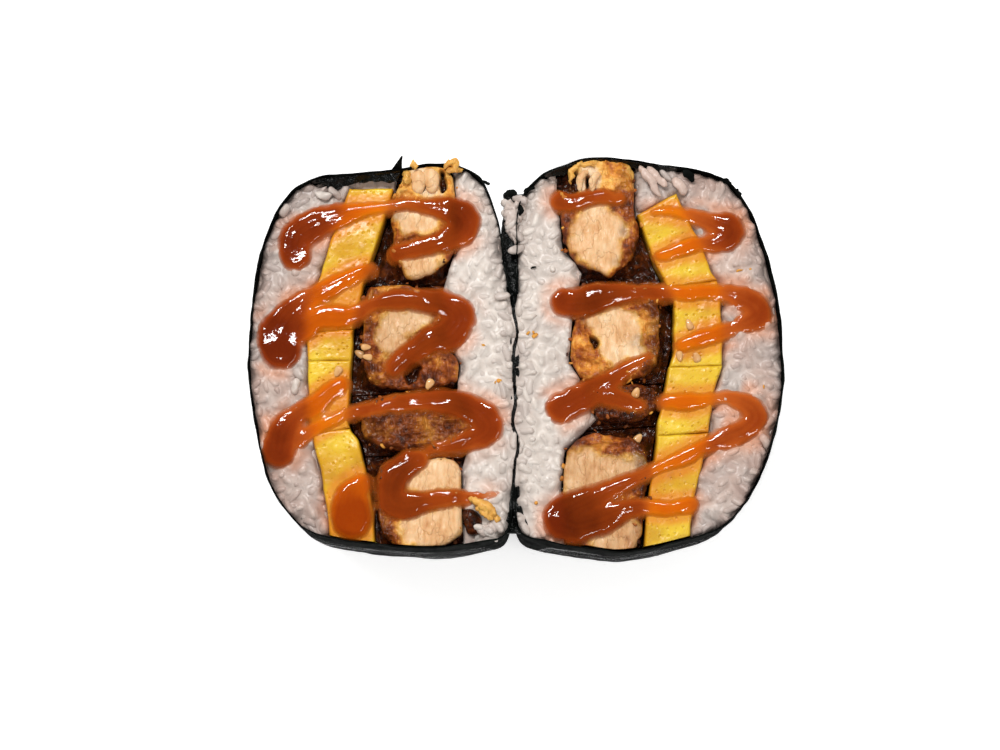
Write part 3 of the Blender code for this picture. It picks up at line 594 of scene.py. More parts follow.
# %% Strokes of sauce: X, Y and width along the middle
STROKES = (
    [(-57.2, 26.4, 8.2), (-57.4, 30.2, 9.0), (-54.6, 33.2, 9.0), (-47.4, 36.2, 7.2), (-40.0, 38.0, 4.6),
     (-34.0, 38.8, 3.2), (-28.0, 39.6, 4.0), (-21.0, 38.8, 5.4), (-14.5, 37.0, 8.4), (-13.4, 33.0, 7.6),
     (-18.5, 29.8, 6.4), (-25.0, 28.0, 5.4), (-30.6, 26.8, 5.0)],
    [(-37.8, 22.8, 3.6), (-43.0, 20.2, 5.2), (-48.5, 17.4, 5.6), (-53.5, 14.4, 6.2), (-58.5, 10.4, 8.6),
     (-61.6, 5.4, 10.2), (-60.6, 1.6, 10.4)],
    [(-56.0, 6.6, 8.2), (-50.5, 9.8, 6.4), (-45.0, 9.8, 6.2), (-41.0, 10.6, 5.0), (-36.4, 13.2, 4.2),
     (-31.0, 14.2, 5.6), (-24.6, 14.0, 6.0), (-18.2, 13.2, 7.4), (-14.4, 9.8, 8.4), (-17.0, 5.2, 8.0),
     (-22.0, 3.2, 7.0), (-27.3, -0.2, 6.0), (-31.2, -3.6, 5.4)],
    [(-44.8, -8.0, 4.6), (-48.0, -10.2, 5.2), (-52.2, -13.6, 6.0), (-56.4, -15.8, 5.4),
     (-59.8, -20.0, 8.0), (-60.8, -25.2, 8.4)],
    [(-55.6, -22.2, 4.6), (-50.8, -19.0, 3.8), (-46.8, -17.2, 3.4), (-43.0, -15.6, 3.2),
     (-36.4, -14.2, 4.6), (-30.0, -13.2, 5.2), (-22.0, -12.4, 5.8), (-14.2, -13.2, 7.4),
     (-8.2, -16.4, 8.2), (-7.4, -20.2, 7.6), (-12.0, -22.6, 6.0), (-17.0, -24.2, 3.8), (-22.2, -25.2, 3.0)],
    [(-24.6, -27.2, 5.0), (-29.8, -30.4, 7.6), (-32.0, -35.0, 7.2), (-31.0, -39.0, 7.2),
     (-27.2, -39.4, 6.6), (-21.8, -38.2, 5.2), (-15.6, -37.6, 4.2), (-9.0, -36.8, 3.0), (-4.2, -36.4, 2.0)],
    [(-39.6, -33.6, 5.6), (-42.0, -37.0, 8.2), (-42.0, -40.2, 10.4), (-41.8, -42.8, 10.4)],
    [(11.8, 40.4, 5.6), (15.6, 40.5, 5.2), (22.0, 41.6, 4.6), (27.4, 41.0, 3.4)],
    [(36.2, 37.6, 2.6), (41.6, 37.4, 3.4), (46.8, 36.4, 4.2), (52.2, 34.6, 6.4), (56.0, 32.6, 8.6),
     (52.4, 29.8, 5.8), (48.0, 29.2, 5.0), (42.8, 27.6, 4.2), (37.6, 25.8, 3.4)],
    [(13.0, 13.8, 7.8), (18.4, 13.8, 7.8), (23.4, 15.2, 7.4), (30.0, 16.2, 5.4), (35.2, 16.3, 4.8),
     (41.6, 16.2, 4.4), (48.0, 16.2, 4.4), (54.0, 16.2, 4.8), (60.2, 14.2, 6.8), (63.4, 11.0, 7.2),
     (60.8, 8.6, 6.2), (57.0, 7.4, 4.2), (53.2, 5.6, 4.8), (48.0, 3.8, 4.6), (43.0, 2.4, 3.4)],
    [(35.0, -0.4, 2.2), (28.6, -4.0, 4.6), (22.0, -8.6, 6.2), (15.6, -12.2, 7.8), (11.8, -14.2, 8.0)],
    [(38.8, -12.5, 4.4), (45.4, -12.5, 4.6), (50.6, -11.8, 3.8), (54.6, -11.2, 3.8), (59.8, -13.0, 5.6),
     (62.2, -16.2, 6.2), (59.6, -19.4, 6.2), (54.6, -21.6, 6.0), (48.0, -24.6, 4.8), (42.8, -27.2, 4.6),
     (37.6, -29.2, 3.8), (31.2, -32.4, 4.6), (24.8, -35.0, 5.2), (18.2, -38.4, 7.2), (11.8, -42.2, 9.6),
     (15.6, -44.8, 8.8), (22.2, -43.0, 7.6), (28.6, -40.4, 5.2), (33.8, -39.8, 4.2), (39.0, -40.0, 4.2),
     (45.0, -39.2, 4.4)],
    [(22.0, -10.6, 5.0), (27.4, -12.2, 5.4), (32.0, -13.4, 4.0)])

# %% The lattice and the depth inside the strokes
LOW = np.array([-0.0714, -0.0540])      # the lattice's corner in metres
SIZE = np.array([476, 361])             # how many points it has each way
lattice = LOW + CELL * np.stack(np.meshgrid(np.arange(SIZE[0]), np.arange(SIZE[1]), indexing="ij"), axis=-1)


def stroke_depth():
    """How deep each lattice point is inside the nearest stroke, and half that stroke's width."""
    depth = np.full(SIZE, -9 * MM)
    half = np.full(SIZE, 3 * MM)
    for stroke in STROKES:
        path = smooth_curve(np.column_stack([plan(np.array(stroke)[:, :2]), MM * np.array(stroke)[:, 2]]),
                            14, closed=False)
        box_low, box_high = path[:, :2].min(axis=0) - 11 * MM, path[:, :2].max(axis=0) + 11 * MM
        low = np.clip(((box_low - LOW) / CELL).astype(int), 0, SIZE)
        high = np.clip(((box_high - LOW) / CELL).astype(int), 0, SIZE)
        part = (slice(low[0], high[0]), slice(low[1], high[1]))
        for x, y, width in path:
            inside = width / 2 - np.hypot(lattice[part][..., 0] - x, lattice[part][..., 1] - y)
            half[part] = np.where(inside > depth[part], width / 2, half[part])
            depth[part] = np.maximum(inside, depth[part])
    return depth, half


def soften(values, sigma):
    """A map blurred by a bell curve of this many cells, by way of its waves."""
    padded = np.pad(values, 24, mode="edge")
    waves = [np.fft.fftfreq(n) for n in padded.shape]
    bell = np.exp(-2 * (math.pi * sigma) ** 2 * (waves[0][:, None] ** 2 + waves[1][None, :] ** 2))
    return np.real(np.fft.ifft2(np.fft.fft2(padded) * bell))[24:-24, 24:-24]


def lattice_skin(name, field, top, bottom, stride, finish, slot, **maps):
    """A closed skin over the lattice cells where a field is above 0.

    Border points slide down the field's slope onto the line where it is 0; a skirt
    joins the top to the bottom there.
    """
    thin = (slice(None, None, stride), slice(None, None, stride))
    field, top, bottom, grid = field[thin], top[thin], bottom[thin], lattice[thin]
    step = CELL * stride
    inside = field > 0
    cells = inside[:-1, :-1] | inside[1:, :-1] | inside[:-1, 1:] | inside[1:, 1:]
    numbers = np.arange(field.size).reshape(field.shape)
    quads = np.stack([numbers[:-1, :-1], numbers[1:, :-1], numbers[1:, 1:], numbers[:-1, 1:]], axis=-1)[cells]
    used, quads = np.unique(quads, return_inverse=True)
    quads = quads.reshape(-1, 4)
    slope = np.stack(np.gradient(field, step), axis=-1).reshape(-1, 2)[used]
    slide = np.maximum(-field.ravel()[used], 0)[:, None] * slope
    slide /= np.maximum((slope ** 2).sum(axis=1), 0.2)[:, None]
    flat = grid.reshape(-1, 2)[used] + np.clip(slide, -1.2 * step, 1.2 * step)
    high, low = top.ravel()[used], bottom.ravel()[used]
    count = len(flat)
    directed = np.concatenate([quads[:, [k, (k + 1) % 4]] for k in range(4)])
    sides = np.sort(directed, axis=1)
    _, index, uses = np.unique(sides[:, 0] * count + sides[:, 1], return_index=True, return_counts=True)
    rim = directed[index[uses == 1]]
    skirt = np.column_stack([rim[:, 1], rim[:, 0], rim[:, 0] + count, rim[:, 1] + count])
    points = np.vstack([np.column_stack([flat, high]), np.column_stack([flat, low])])
    values = {key: np.tile(value[thin].ravel()[used], 2) for key, value in maps.items()}
    return piece(name, points, [quads, quads[:, ::-1] + count, skirt], finish, slot, (), **values)


def read_map(values, points):
    """A map's value at any plan points, from the nearest lattice point."""
    at = np.clip(np.rint((points[..., :2] - LOW) / CELL).astype(int), 0, SIZE - 1)
    return values[at[..., 0], at[..., 1]]


sauce_depth, sauce_half = stroke_depth()
sauce_half = soften(sauce_half, 5.0)
off_middle = np.maximum(sauce_half - soften(sauce_depth, 2.0), 0)
sauce_depth = soften(sauce_depth, 2.0) + SPREAD + 0.35 * MM * rough(lattice, 4 * MM, 3, 5)
print("sauce covers", round(float((sauce_depth > 0).sum() * CELL ** 2 * 1e6)), "square mm")

# %% [markdown]
# ## Omelette
#
# Rolled omelette cut into slabs: even yellow, with pin-holes from the steam and
# soft edges. A slab lies between two layer lines, so it is a grid: one number
# runs across from line to line, the other along from cut to cut. The grid's
# border then goes down the sides as rings, held inside the cup, to the base.

# %% Omelette finish
def egg_finish():
    """Warm yellow, a little translucent; pores are scattered spots of many sizes, darker as painted shade in
    the pin-holes.
    """
    finish = Finish("omelette", Roughness=0.36, Subsurface_Weight=0.15, Subsurface_Scale=0.002,
                    Subsurface_Radius=(1.0, 0.6, 0.15), Coat_Weight=0.3, Coat_Roughness=0.2)
    cloud = finish.grain(6.0 * MM, 4.0)
    fine = finish.grain(0.6 * MM, 3.0)
    size = finish.grain(2.0 * MM, 1.0) * 0.34 - 0.05
    pores = 1 - finish.band(finish.spots(0.95 * MM) - size, 0.0, 0.16)
    pores = pores * 0.4 + finish.value("pore") * 0.6
    base = finish.mix(finish.band(cloud, 0.35, 0.65), srgb(206, 152, 20), srgb(225, 188, 42))
    # Pores take a darker yellow: painted shade in the pin-holes.
    pore_shaded = finish.mix(finish.band(pores, 0.0, 2.8), base, srgb(184, 112, 14))
    stained = finish.mix(finish.value("stain"), pore_shaded, srgb(212, 104, 12))
    color = finish.mix(finish.value("browned"), stained, srgb(150, 84, 18))
    finish.relief(fine * 0.35 - pores * 0.6, 0.3 * MM)
    return finish.set(Base_Color=color)


EGG_FINISH = egg_finish()

# %% Omelette slabs
HEIGHTS_DOWN = MM * np.array([42, 34, 24, 16, 11, 7, 4, 2.2, 1.3])      # rings of a layer's sides


def egg_slab(name, first_line, second_line, start, end, cup, seed):
    """A slab between two lines and two cuts, with a grid for its top and rings for its sides."""
    across, along = np.meshgrid(np.linspace(0, 1, 60), np.linspace(0, 1, 150))
    first_y = start[0] + (end[0] - start[0]) * along
    second_y = start[1] + (end[1] - start[1]) * along
    first_x, second_x = first_line(first_y), second_line(second_y)
    width = np.abs(second_x - first_x)
    length = abs(start[0] - end[0])
    margin = 0.15 * MM
    share = across * (1 - 2 * margin / width) + margin / width
    flat = np.stack([first_x + (second_x - first_x) * share,
                     first_y + (second_y - first_y) * share - margin * (2 * along - 1)], axis=-1)
    flat += 0.3 * MM * np.stack([rough(flat, 6 * MM, 2, seed), rough(flat, 6 * MM, 2, seed + 3)], axis=-1)
    ceiling = np.full(across.shape, CUT)
    flat = cup.hold(np.dstack([flat, ceiling]), WALL)[..., :2]
    border = np.minimum.reduce([across * width, (1 - across) * width, along * length, (1 - along) * length])
    rim = np.clip(1 - border / (0.9 * MM), 0, 1)
    spot, number = nearest_spot(flat, 1.7 * MM, seed)
    size = 0.08 + 0.14 * number
    pore = smoothstep(size, size * 0.3, spot) * (number > 0.7)
    z = (EGG_LEVEL - 0.9 * MM * (1 - np.sqrt(1 - rim ** 2)) - 0.25 * MM * pore
         + 0.22 * MM * rough(flat, 5 * MM, 3, seed) + 0.03 * MM * rough(flat, 0.7 * MM, 2, seed))
    top = np.dstack([flat, z])
    ring = np.concatenate([top[0, :-1], top[:-1, -1], top[-1, :0:-1], top[:0:-1, 0]])
    rings = cup.hold(np.stack([np.column_stack([ring[:, :2], np.full(len(ring), h)]) for h in HEIGHTS_DOWN]))
    numbers = np.arange(top.shape[0] * top.shape[1]).reshape(top.shape[:2])
    edge = np.concatenate([numbers[0, :-1], numbers[:-1, -1], numbers[-1, :0:-1], numbers[:0:-1, 0]])
    count, total = len(edge), numbers.size
    side = grid_faces(len(rings) + 1, count)
    table = np.concatenate([edge, total + np.arange(len(rings) * count)])
    pole = total + len(rings) * count
    points = np.vstack([top.reshape(-1, 3), rings.reshape(-1, 3), rings[-1].mean(axis=0)[None]])
    faces = [grid_faces(*top.shape[:2], around=False), table[side],
             fan_faces(table[-count:], pole, True)]
    area = np.sum(np.cross(ring[:, :2], np.roll(ring[:, :2], -1, axis=0)))
    if area > 0:
        faces = [block[:, ::-1] if k else block for k, block in enumerate(faces)]
    else:
        faces = [block if k else block[:, ::-1] for k, block in enumerate(faces)]
    browned = smoothstep(0.4, 1.0, rim) * 0.45 + 0.2 * smoothstep(0.3, 1.0, rough(flat, 4 * MM, 3, seed + 5))
    stain = 0.6 * smoothstep(-2.5 * MM, 0.0, read_map(sauce_depth, flat))
    fill = np.zeros(len(points) - total)
    return piece(name, points, faces, EGG_FINISH, "egg", (name.replace("omelette", "egg"),),
                 pore=np.concatenate([pore.ravel(), fill]),
                 browned=np.concatenate([browned.ravel(), fill + 0.3]),
                 stain=np.concatenate([stain.ravel(), fill + 0.3])), top


egg_tops = []
for side, cup, first, second, rows in (
        ("left", left_cup, eased(RICE_EGG_LEFT), eased(EGG_CHICKEN_LEFT), EGG_CUTS_LEFT),
        ("right", right_cup, eased(CHICKEN_EGG_RIGHT), eased(EGG_RICE_RIGHT), EGG_CUTS_RIGHT)):
    for number in range(4):
        slab, top = egg_slab(f"omelette_{side}_{number + 1}", first, second, rows[number],
                             rows[number + 1], cup, 20 + 4 * number + (side == "right"))
        egg_tops.append(top.reshape(-1, 3))

# %% [markdown]
# ## Fried chicken
#
# Each chunk is pale fibrous meat in a dark, craggy crust, cut flat by the
# knife. Sculpting by hand would do it; here a chunk is rings round its middle,
# and masks from the meat's own outlines say where the surface is smooth meat
# and where it is crust. Outside the rim the rings drop into the dark cleft
# beside the omelette, then go out to the walls of the chunk's place and down.

# %% Plan of the chunks and of the meat that shows
CHICKEN = {
    "left_1": [(-26.8, 50.4), (-19.5, 50.4), (-16.0, 46.0), (-15.3, 30.0), (-20.3, 22.6),
               (-27.3, 20.0), (-31.6, 28.0), (-31.4, 41.0)],
    "left_2": [(-37.2, 17.7), (-28.6, 18.5), (-19.5, 14.3), (-18.2, 2.6), (-14.6, -2.0),
               (-16.8, -7.8), (-35.1, -8.6), (-39.2, -1.0), (-39.3, 10.4)],
    "left_3": [(-39.6, -16.9), (-35.4, -11.2), (-19.5, -10.4), (-11.9, -13.2), (-11.0, -18.2),
               (-15.6, -24.4), (-27.3, -25.6), (-38.0, -22.1)],
    "left_4": [(-34.4, -28.6), (-23.4, -26.9), (-14.8, -28.0), (-13.4, -38.0), (-13.8, -47.0),
               (-22.1, -51.0), (-31.2, -49.5), (-34.6, -41.6)],
    "right_1": [(11.8, 44.2), (14.5, 51.5), (27.3, 52.5), (31.4, 46.0), (32.0, 37.0),
                (31.5, 28.0), (25.2, 21.4), (17.8, 23.4), (12.9, 29.5)],
    "right_2": [(16.9, 17.4), (27.3, 18.6), (35.8, 16.9), (37.4, 9.1), (36.6, -1.3),
                (32.0, -6.2), (18.2, -6.4), (14.5, -1.2), (15.1, 8.0)],
    "right_3": [(19.6, -9.1), (27.3, -7.8), (35.6, -8.8), (35.4, -15.2), (28.6, -17.6), (21.4, -16.2)],
    "right_4": [(13.0, -26.2), (18.2, -21.4), (29.9, -21.8), (34.2, -27.6), (33.4, -38.0),
                (31.2, -50.0), (24.0, -53.0), (14.0, -51.0), (12.4, -37.0)]}
MEAT = {
    "left_1": [[(-27, 48.3), (-22, 49.0), (-19.4, 45), (-21, 42), (-25.5, 43.5)],
               [(-30.5, 38), (-22.5, 38.2), (-22, 33.5), (-29, 33)],
               [(-28.5, 27), (-21.5, 26.5), (-21, 21.5), (-26, 20.5)]],
    "left_2": [[(-33.5, 10.4), (-22, 11.2), (-25.5, 7.8), (-28.6, 4.4), (-31.2, 1.3), (-34, 0.4)]],
    "left_3": [],
    "left_4": [[(-23.4, -28.1), (-15.6, -28), (-14, -34), (-15, -35.3), (-28.6, -34.6), (-27, -31)],
               [(-27.3, -42.9), (-20.8, -41), (-13.6, -40), (-13.6, -46), (-17, -49),
                (-27, -49.4), (-29.2, -46)]],
    "right_1": [[(16.9, 48), (21.5, 49), (22, 43), (17.5, 43)],
                [(19.5, 38.7), (22.6, 39.8), (25.2, 36.4), (27.8, 33.8), (27.3, 28.6), (25.5, 24.2),
                 (22.1, 21.8), (19.5, 24.2), (15.2, 27.8), (16.2, 34.5)]],
    "right_2": [[(20, 9.6), (26.8, 11.2), (31.2, 7.8), (32.2, 1.3), (29.9, -0.5), (24.7, -2.1),
                 (21.6, 5.2)]],
    "right_3": [],
    "right_4": [[(14.5, -26), (19.5, -26), (25.2, -27.3), (32.3, -28.8), (24.7, -33.3), (19.5, -35.1),
                 (13.8, -36.4)],
                [(20.8, -44.3), (30.4, -44.2), (31.2, -48.5), (28, -50.5), (21, -50.5)]]}

# Dark holes between shreds, how golden each crust is, and how much sauce has soaked in
PITS = {
    "left_1": [[(-19.6, 48.8), (-18.2, 47.6), (-18.0, 43.6), (-19.4, 43.2)],
               [(-24.6, 47.6), (-23.9, 44.0), (-24.5, 43.8)]],
    "left_2": [[(-28.8, -1.8), (-24.5, -3.4), (-27.4, -8.0)]],
    "right_1": [[(10.8, 48.6), (14.4, 49.9), (16.6, 46.6), (16.2, 42.6), (13.2, 42.4)],
                [(18.6, 47.4), (19.5, 47.0), (19.4, 43.6), (18.7, 43.8)]],
    "right_2": [[(19.4, 4.6), (21.8, 3.4), (20.6, 1.6)]]}
TOAST = {"left_1": 0.6, "left_2": 0.5, "left_3": 0.5, "left_4": 0.5,
         "right_1": 0.45, "right_2": 0.65, "right_3": 0.3, "right_4": 0.35}
SOAKED = {"left_2": 0.15, "left_3": 0.6, "right_3": 0.8, "right_4": 0.15}

# %% Chicken finish
def chicken_finish():
    """Cream meat with fibres, a golden border, dark crust, and a dark sauce colour where the chunk is soaked
    and as painted shade down in the cleft.
    """
    finish = Finish("fried_chicken", Subsurface_Weight=0.12, Subsurface_Scale=0.002,
                    Subsurface_Radius=(1.0, 0.4, 0.2), Coat_Weight=0.12, Coat_Roughness=0.15)
    fibre = finish.grain(0.7 * MM, 4.0, finish.stretched(1.0, 0.4, 0.6))
    cloud = finish.grain(2.6 * MM, 4.0)
    speck = finish.grain(0.8 * MM, 4.0)
    shade = finish.value("toast") * 0.3 - 0.16
    meat = finish.ramp(fibre * 0.6 + cloud * 0.4 + shade, (0.3, srgb(190, 132, 80)),
                       (0.42, srgb(214, 164, 112)), (0.6, srgb(226, 186, 140)), (0.75, srgb(236, 206, 168)))
    # Thin dark lines where the meat cracks: painted shade in the slits.
    wave = finish.grain(2.0 * MM, 3.0, finish.stretched(1.0, 0.55, 1.0)) - 0.5
    crack = 1 - finish.band(finish.math("ABSOLUTE", wave), 0.0, 0.018)
    meat = finish.mix(crack * 0.16, meat, srgb(164, 110, 64))
    toast = finish.value("toast") * 0.3 - 0.08
    crust = finish.ramp(cloud * 0.55 + speck * 0.45 + toast, (0.32, srgb(40, 15, 5)),
                        (0.46, srgb(104, 44, 12)), (0.58, srgb(156, 76, 18)), (0.72, srgb(212, 136, 46)),
                        (0.85, srgb(232, 176, 88)))
    golden = finish.ramp(cloud + toast, (0.35, srgb(156, 88, 26)), (0.7, srgb(222, 168, 80)))
    dark = finish.ramp(speck * 0.6 + cloud * 0.4, (0.35, srgb(16, 6, 3)), (0.52, srgb(66, 26, 9)),
                       (0.68, srgb(118, 58, 18)))
    amount = finish.value("meat")
    fried = finish.mix(finish.band(amount, 0.1, 0.5), crust, golden)
    fried = finish.mix(finish.band(amount, 0.45, 0.95), fried, meat)
    # The dark colour is sauce soaked in, and painted shade low in the cleft.
    color = finish.mix(finish.value("soaked"), fried, dark)
    finish.relief(fibre * 0.3 + speck * 0.7 - crack * 0.3, 0.35 * MM)
    return finish.set(Base_Color=color, Roughness=0.5 - finish.value("soaked") * 0.25)


CHICKEN_FINISH = chicken_finish()

# %% Chunks of chicken
def cell_outline(first_line, second_line, start, end):
    """The place of one chunk: down one layer line, and back up the other."""
    down = np.linspace(start[0], end[0], 40)
    back = np.linspace(end[1], start[1], 40)
    return np.vstack([np.column_stack([first_line(down), down]), np.column_stack([second_line(back), back])])


def by_angle(outline, middle, angles, inset):
    """The outline's point in each direction from a middle, a little inside."""
    dense = even_steps(outline, 900)
    away = dense - middle
    turn = np.arctan2(away[:, 1], away[:, 0])
    order = np.argsort(turn)
    radius = np.interp(angles, turn[order], np.linalg.norm(away, axis=1)[order], period=2 * math.pi)
    return middle + (radius - inset)[:, None] * np.column_stack([np.cos(angles), np.sin(angles)])


def meat_mask(key, flat, seed):
    """1 on cut meat and 0 on crust: how deep a point is inside the meat's roughened outlines."""
    meat = np.zeros(flat.shape[:2])
    for outline in MEAT[key]:
        inside = depth_inside(flat, closed_curve(outline)) + 1.0 * MM * rough(flat, 2.6 * MM, 3, seed + 2)
        meat = np.maximum(meat, smoothstep(-2.6 * MM, 1.0 * MM, inside))
    return meat


def chunk_height(key, flat, meat, border, seed):
    """Height of the top: crags on the crust, fibres on the meat, a rounded rim and the pits."""
    crags = ridged(flat, 3.2 * MM, 4, seed) - 0.45
    fibres = rough(flat * (1.0, 0.35), 1.1 * MM, 3, seed + 4)
    shoulder = 1.6 * MM * (1 - np.sqrt(1 - np.clip(1 - border / (1.8 * MM), 0, 1) ** 2))
    z = CUT + 0.1 * MM + (1 - meat) * 2.0 * MM * crags + meat * (0.2 * MM * fibres - 0.2 * MM) - shoulder
    z += 0.3 * MM * rough(flat, 6 * MM, 2, seed + 6)
    for outline in PITS.get(key, []):
        inside = depth_inside(flat, closed_curve(outline)) + 0.3 * MM * rough(flat, 2 * MM, 2, seed)
        z -= 3.4 * MM * smoothstep(-0.5 * MM, 0.6 * MM, inside)
    return z


def chicken_chunk(key, cell, cup, seed):
    """Rings from the chunk's middle to its rim, into the cleft, out to its place and down."""
    count = 300
    rim = even_steps(closed_curve(CHICKEN[key], 20), count)
    middle = rim.mean(axis=0)
    away = rim - middle
    angles = np.arctan2(away[:, 1], away[:, 0])
    rim = rim + 0.55 * MM * rough(rim, 3.5 * MM, 3, seed)[:, None] * unit(away)
    wall = by_angle(cell, middle, angles, 0.3 * MM)
    reach = np.linalg.norm(wall - middle, axis=1)
    own = np.linalg.norm(rim - middle, axis=1)
    rim = middle + (rim - middle) * np.minimum(1, (reach - 0.2 * MM) / own)[:, None]
    share = np.linspace(0.02, 1, 84)
    flat = middle + share[:, None, None] * (rim - middle)
    border = (1 - share)[:, None] * np.linalg.norm(rim - middle, axis=1)
    meat = meat_mask(key, flat, seed)
    top = np.dstack([flat, chunk_height(key, flat, meat, border, seed)])
    drop = np.linspace(0.08, 1, 12)[:, None]
    cleft = rim + (wall - rim) * (drop[..., None] ** 2.2 * 0.6)
    cleft_z = top[-1, :, 2] + (GAP_FLOOR - top[-1, :, 2]) * drop
    cleft_z = cleft_z + 0.5 * MM * rough(np.dstack([cleft, cleft_z]), 2 * MM, 3, seed + 1)
    floor = cleft[-1] + (wall - cleft[-1]) * np.linspace(0.2, 1, 8)[:, None, None]
    floor_z = GAP_FLOOR + 0.9 * MM * rough(floor, 3 * MM, 3, seed + 8)
    sides = np.stack([np.column_stack([wall, np.full(count, height)])
                      for height in HEIGHTS_DOWN if height < GAP_FLOOR - 2 * MM])
    rings = np.concatenate([top, np.dstack([cleft, cleft_z]), np.dstack([floor, floor_z]), sides])
    rings = cup.hold(rings)
    # Painted shade: the colour darkens from just under the cut down into the cleft. wet holds this together
    # with each chunk's sauce soaking.
    low = smoothstep(CUT - 0.6 * MM, CUT - 3.2 * MM, rings[..., 2])
    wet = np.maximum(low, SOAKED.get(key, 0.0) * (0.75 + 0.25 * rough(rings, 3 * MM, 2, seed)))
    # The side towards the omelette is made darker too.
    to_egg = (rings[..., 0] - middle[0]) / own.mean() * (-1 if cup is left_cup else 1)
    wet = np.maximum(wet, 0.7 * smoothstep(0.35, 1.0, to_egg + 0.35 * rough(rings, 4 * MM, 2, seed)))
    toast = TOAST[key] + 0.35 * rough(rings, 7 * MM, 2, seed + 9)
    toast = toast + 0.9 * smoothstep(2 * MM, 9 * MM, rings[..., 1] - middle[1]) * key.endswith("_1")
    meat = np.concatenate([meat, np.zeros((len(rings) - len(meat), count))])
    name = f"chicken_{key}"
    stack(f"fried_{name}", rings, CHICKEN_FINISH, "chicken", (name,), meat=meat, soaked=wet, toast=toast)
    return top.reshape(-1, 3)


FURTHEST_Y = 0.0535      # chunks' places end here in metres, past both cups
chicken_tops = []
for side, cup, first, second, rows in (
        ("left", left_cup, eased(EGG_CHICKEN_LEFT), eased(CHICKEN_RICE_LEFT), CHICKEN_CUTS_LEFT),
        ("right", right_cup, eased(RICE_CHICKEN_RIGHT), eased(CHICKEN_EGG_RIGHT), CHICKEN_CUTS_RIGHT)):
    for number in range(4):
        start, end = np.clip(rows[number:number + 2], -FURTHEST_Y, FURTHEST_Y)
        place = cell_outline(first, second, start, end)
        seed = 60 + 9 * number + (side == "right")
        chicken_tops.append(chicken_chunk(f"{side}_{number + 1}", place, cup, seed))

# %% [markdown]
# ## Rice
#
# Short-grain rice, cooked and pressed: plump grains, slightly see-through, lying
# every way. Particles would scatter them, but the exported model keeps only
# meshes, so one grain is worked out as an array and copied by turning, bending
# and moving the whole array at once. Under the grains a core of pressed rice
# fills each bed down to the seaweed.

# %% Rice finish
def rice_finish():
    """Milky white, going grey-lilac with the tone value, which is random, higher in the outer beds and
    painted shade near the seaweed and the layer borders; stained orange where sauce or yolk is near.
    """
    finish = Finish("cooked_rice", Roughness=0.38, Subsurface_Weight=0.3, Subsurface_Scale=0.0008,
                    Subsurface_Radius=(1.0, 0.92, 0.88), Coat_Weight=0.2, Coat_Roughness=0.2)
    milk = finish.grain(1.6 * MM, 2.0)
    fine = finish.grain(0.5 * MM, 2.0)
    white = finish.mix(milk, srgb(198, 187, 178), srgb(228, 218, 208))
    # Higher tone greys the rice: it is random, higher in the outer beds, and painted shade near the seaweed
    # and the layer borders.
    toned_and_shaded = finish.mix(finish.value("tone"), white, srgb(170, 155, 148))
    color = finish.mix(finish.value("stain"), toned_and_shaded, srgb(216, 140, 96))
    finish.relief(fine, 0.14 * MM)
    return finish.set(Base_Color=color)


RICE_FINISH = rice_finish()

# %% The beds of rice and their cores
FAR_OUT, FAR_UP, PAST_SPINE = 80 * MM, 60 * MM, 6 * MM      # well outside the cups


def outer_bed(side, second_line, first_line):
    """Outline of a bed between the seaweed and the omelette; side is -1 on the left."""
    return np.vstack([[(side * FAR_OUT, FAR_UP)], second_line[:2], first_line, [(side * FAR_OUT, -FAR_UP)]])


def inner_bed(side, line):
    """Outline of a bed between the chicken and the spine."""
    return np.vstack([line, [(-side * PAST_SPINE, -FAR_UP), (-side * PAST_SPINE, FAR_UP)]])


RICE_BEDS = {"rice_outer_left": (left_cup, outer_bed(-1, EGG_CHICKEN_LEFT, RICE_EGG_LEFT)),
             "rice_inner_left": (left_cup, inner_bed(-1, CHICKEN_RICE_LEFT)),
             "rice_inner_right": (right_cup, inner_bed(1, RICE_CHICKEN_RIGHT)),
             "rice_outer_right": (right_cup, outer_bed(1, CHICKEN_EGG_RIGHT, EGG_RICE_RIGHT))}


def rice_core(name):
    """The bed's own solid with its bumps pressed down flat, as a merged copy of its mesh."""
    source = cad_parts[name].data
    points = np.empty(3 * len(source.vertices))
    source.vertices.foreach_get("co", points)
    corners = np.empty(len(source.loops), int)
    source.loops.foreach_get("vertex_index", corners)
    merged, number = np.unique(np.round(points.reshape(-1, 3), 6), axis=0, return_inverse=True)
    merged[:, 2] = np.minimum(merged[:, 2], CUT - 3.0 * MM + 0.3 * MM * rough(merged[:, :2], 3 * MM, 2, 4))
    faces = number.reshape(-1)[corners].reshape(-1, 3)
    low = np.zeros(len(merged))
    return piece(f"{name}_core", merged, [faces], RICE_FINISH, "rice", (name,), tone=low + 0.6,
                 stain=low + 0.1)


for bed in RICE_BEDS:
    rice_core(bed)

# %% One grain, and all of them
def grain_shape(around=8, along=6):
    """A unit grain: rings along a spindle whose ends are blunter than an ellipsoid's."""
    t = np.linspace(-1, 1, along + 2)[1:-1]
    radius = (1 - np.abs(t) ** 2.5) ** 0.5
    turn = np.linspace(0, 2 * math.pi, around, endpoint=False)
    rings = np.stack([np.repeat(t[:, None], around, axis=1), radius[:, None] * np.cos(turn),
                      radius[:, None] * np.sin(turn)], axis=-1)
    points = np.vstack([rings.reshape(-1, 3), [(-1, 0, 0), (1, 0, 0)]])
    first = np.arange(around)
    faces = [grid_faces(along, around), fan_faces(first, len(points) - 2, False),
             fan_faces(first + (along - 1) * around, len(points) - 1, True)]
    return points, faces


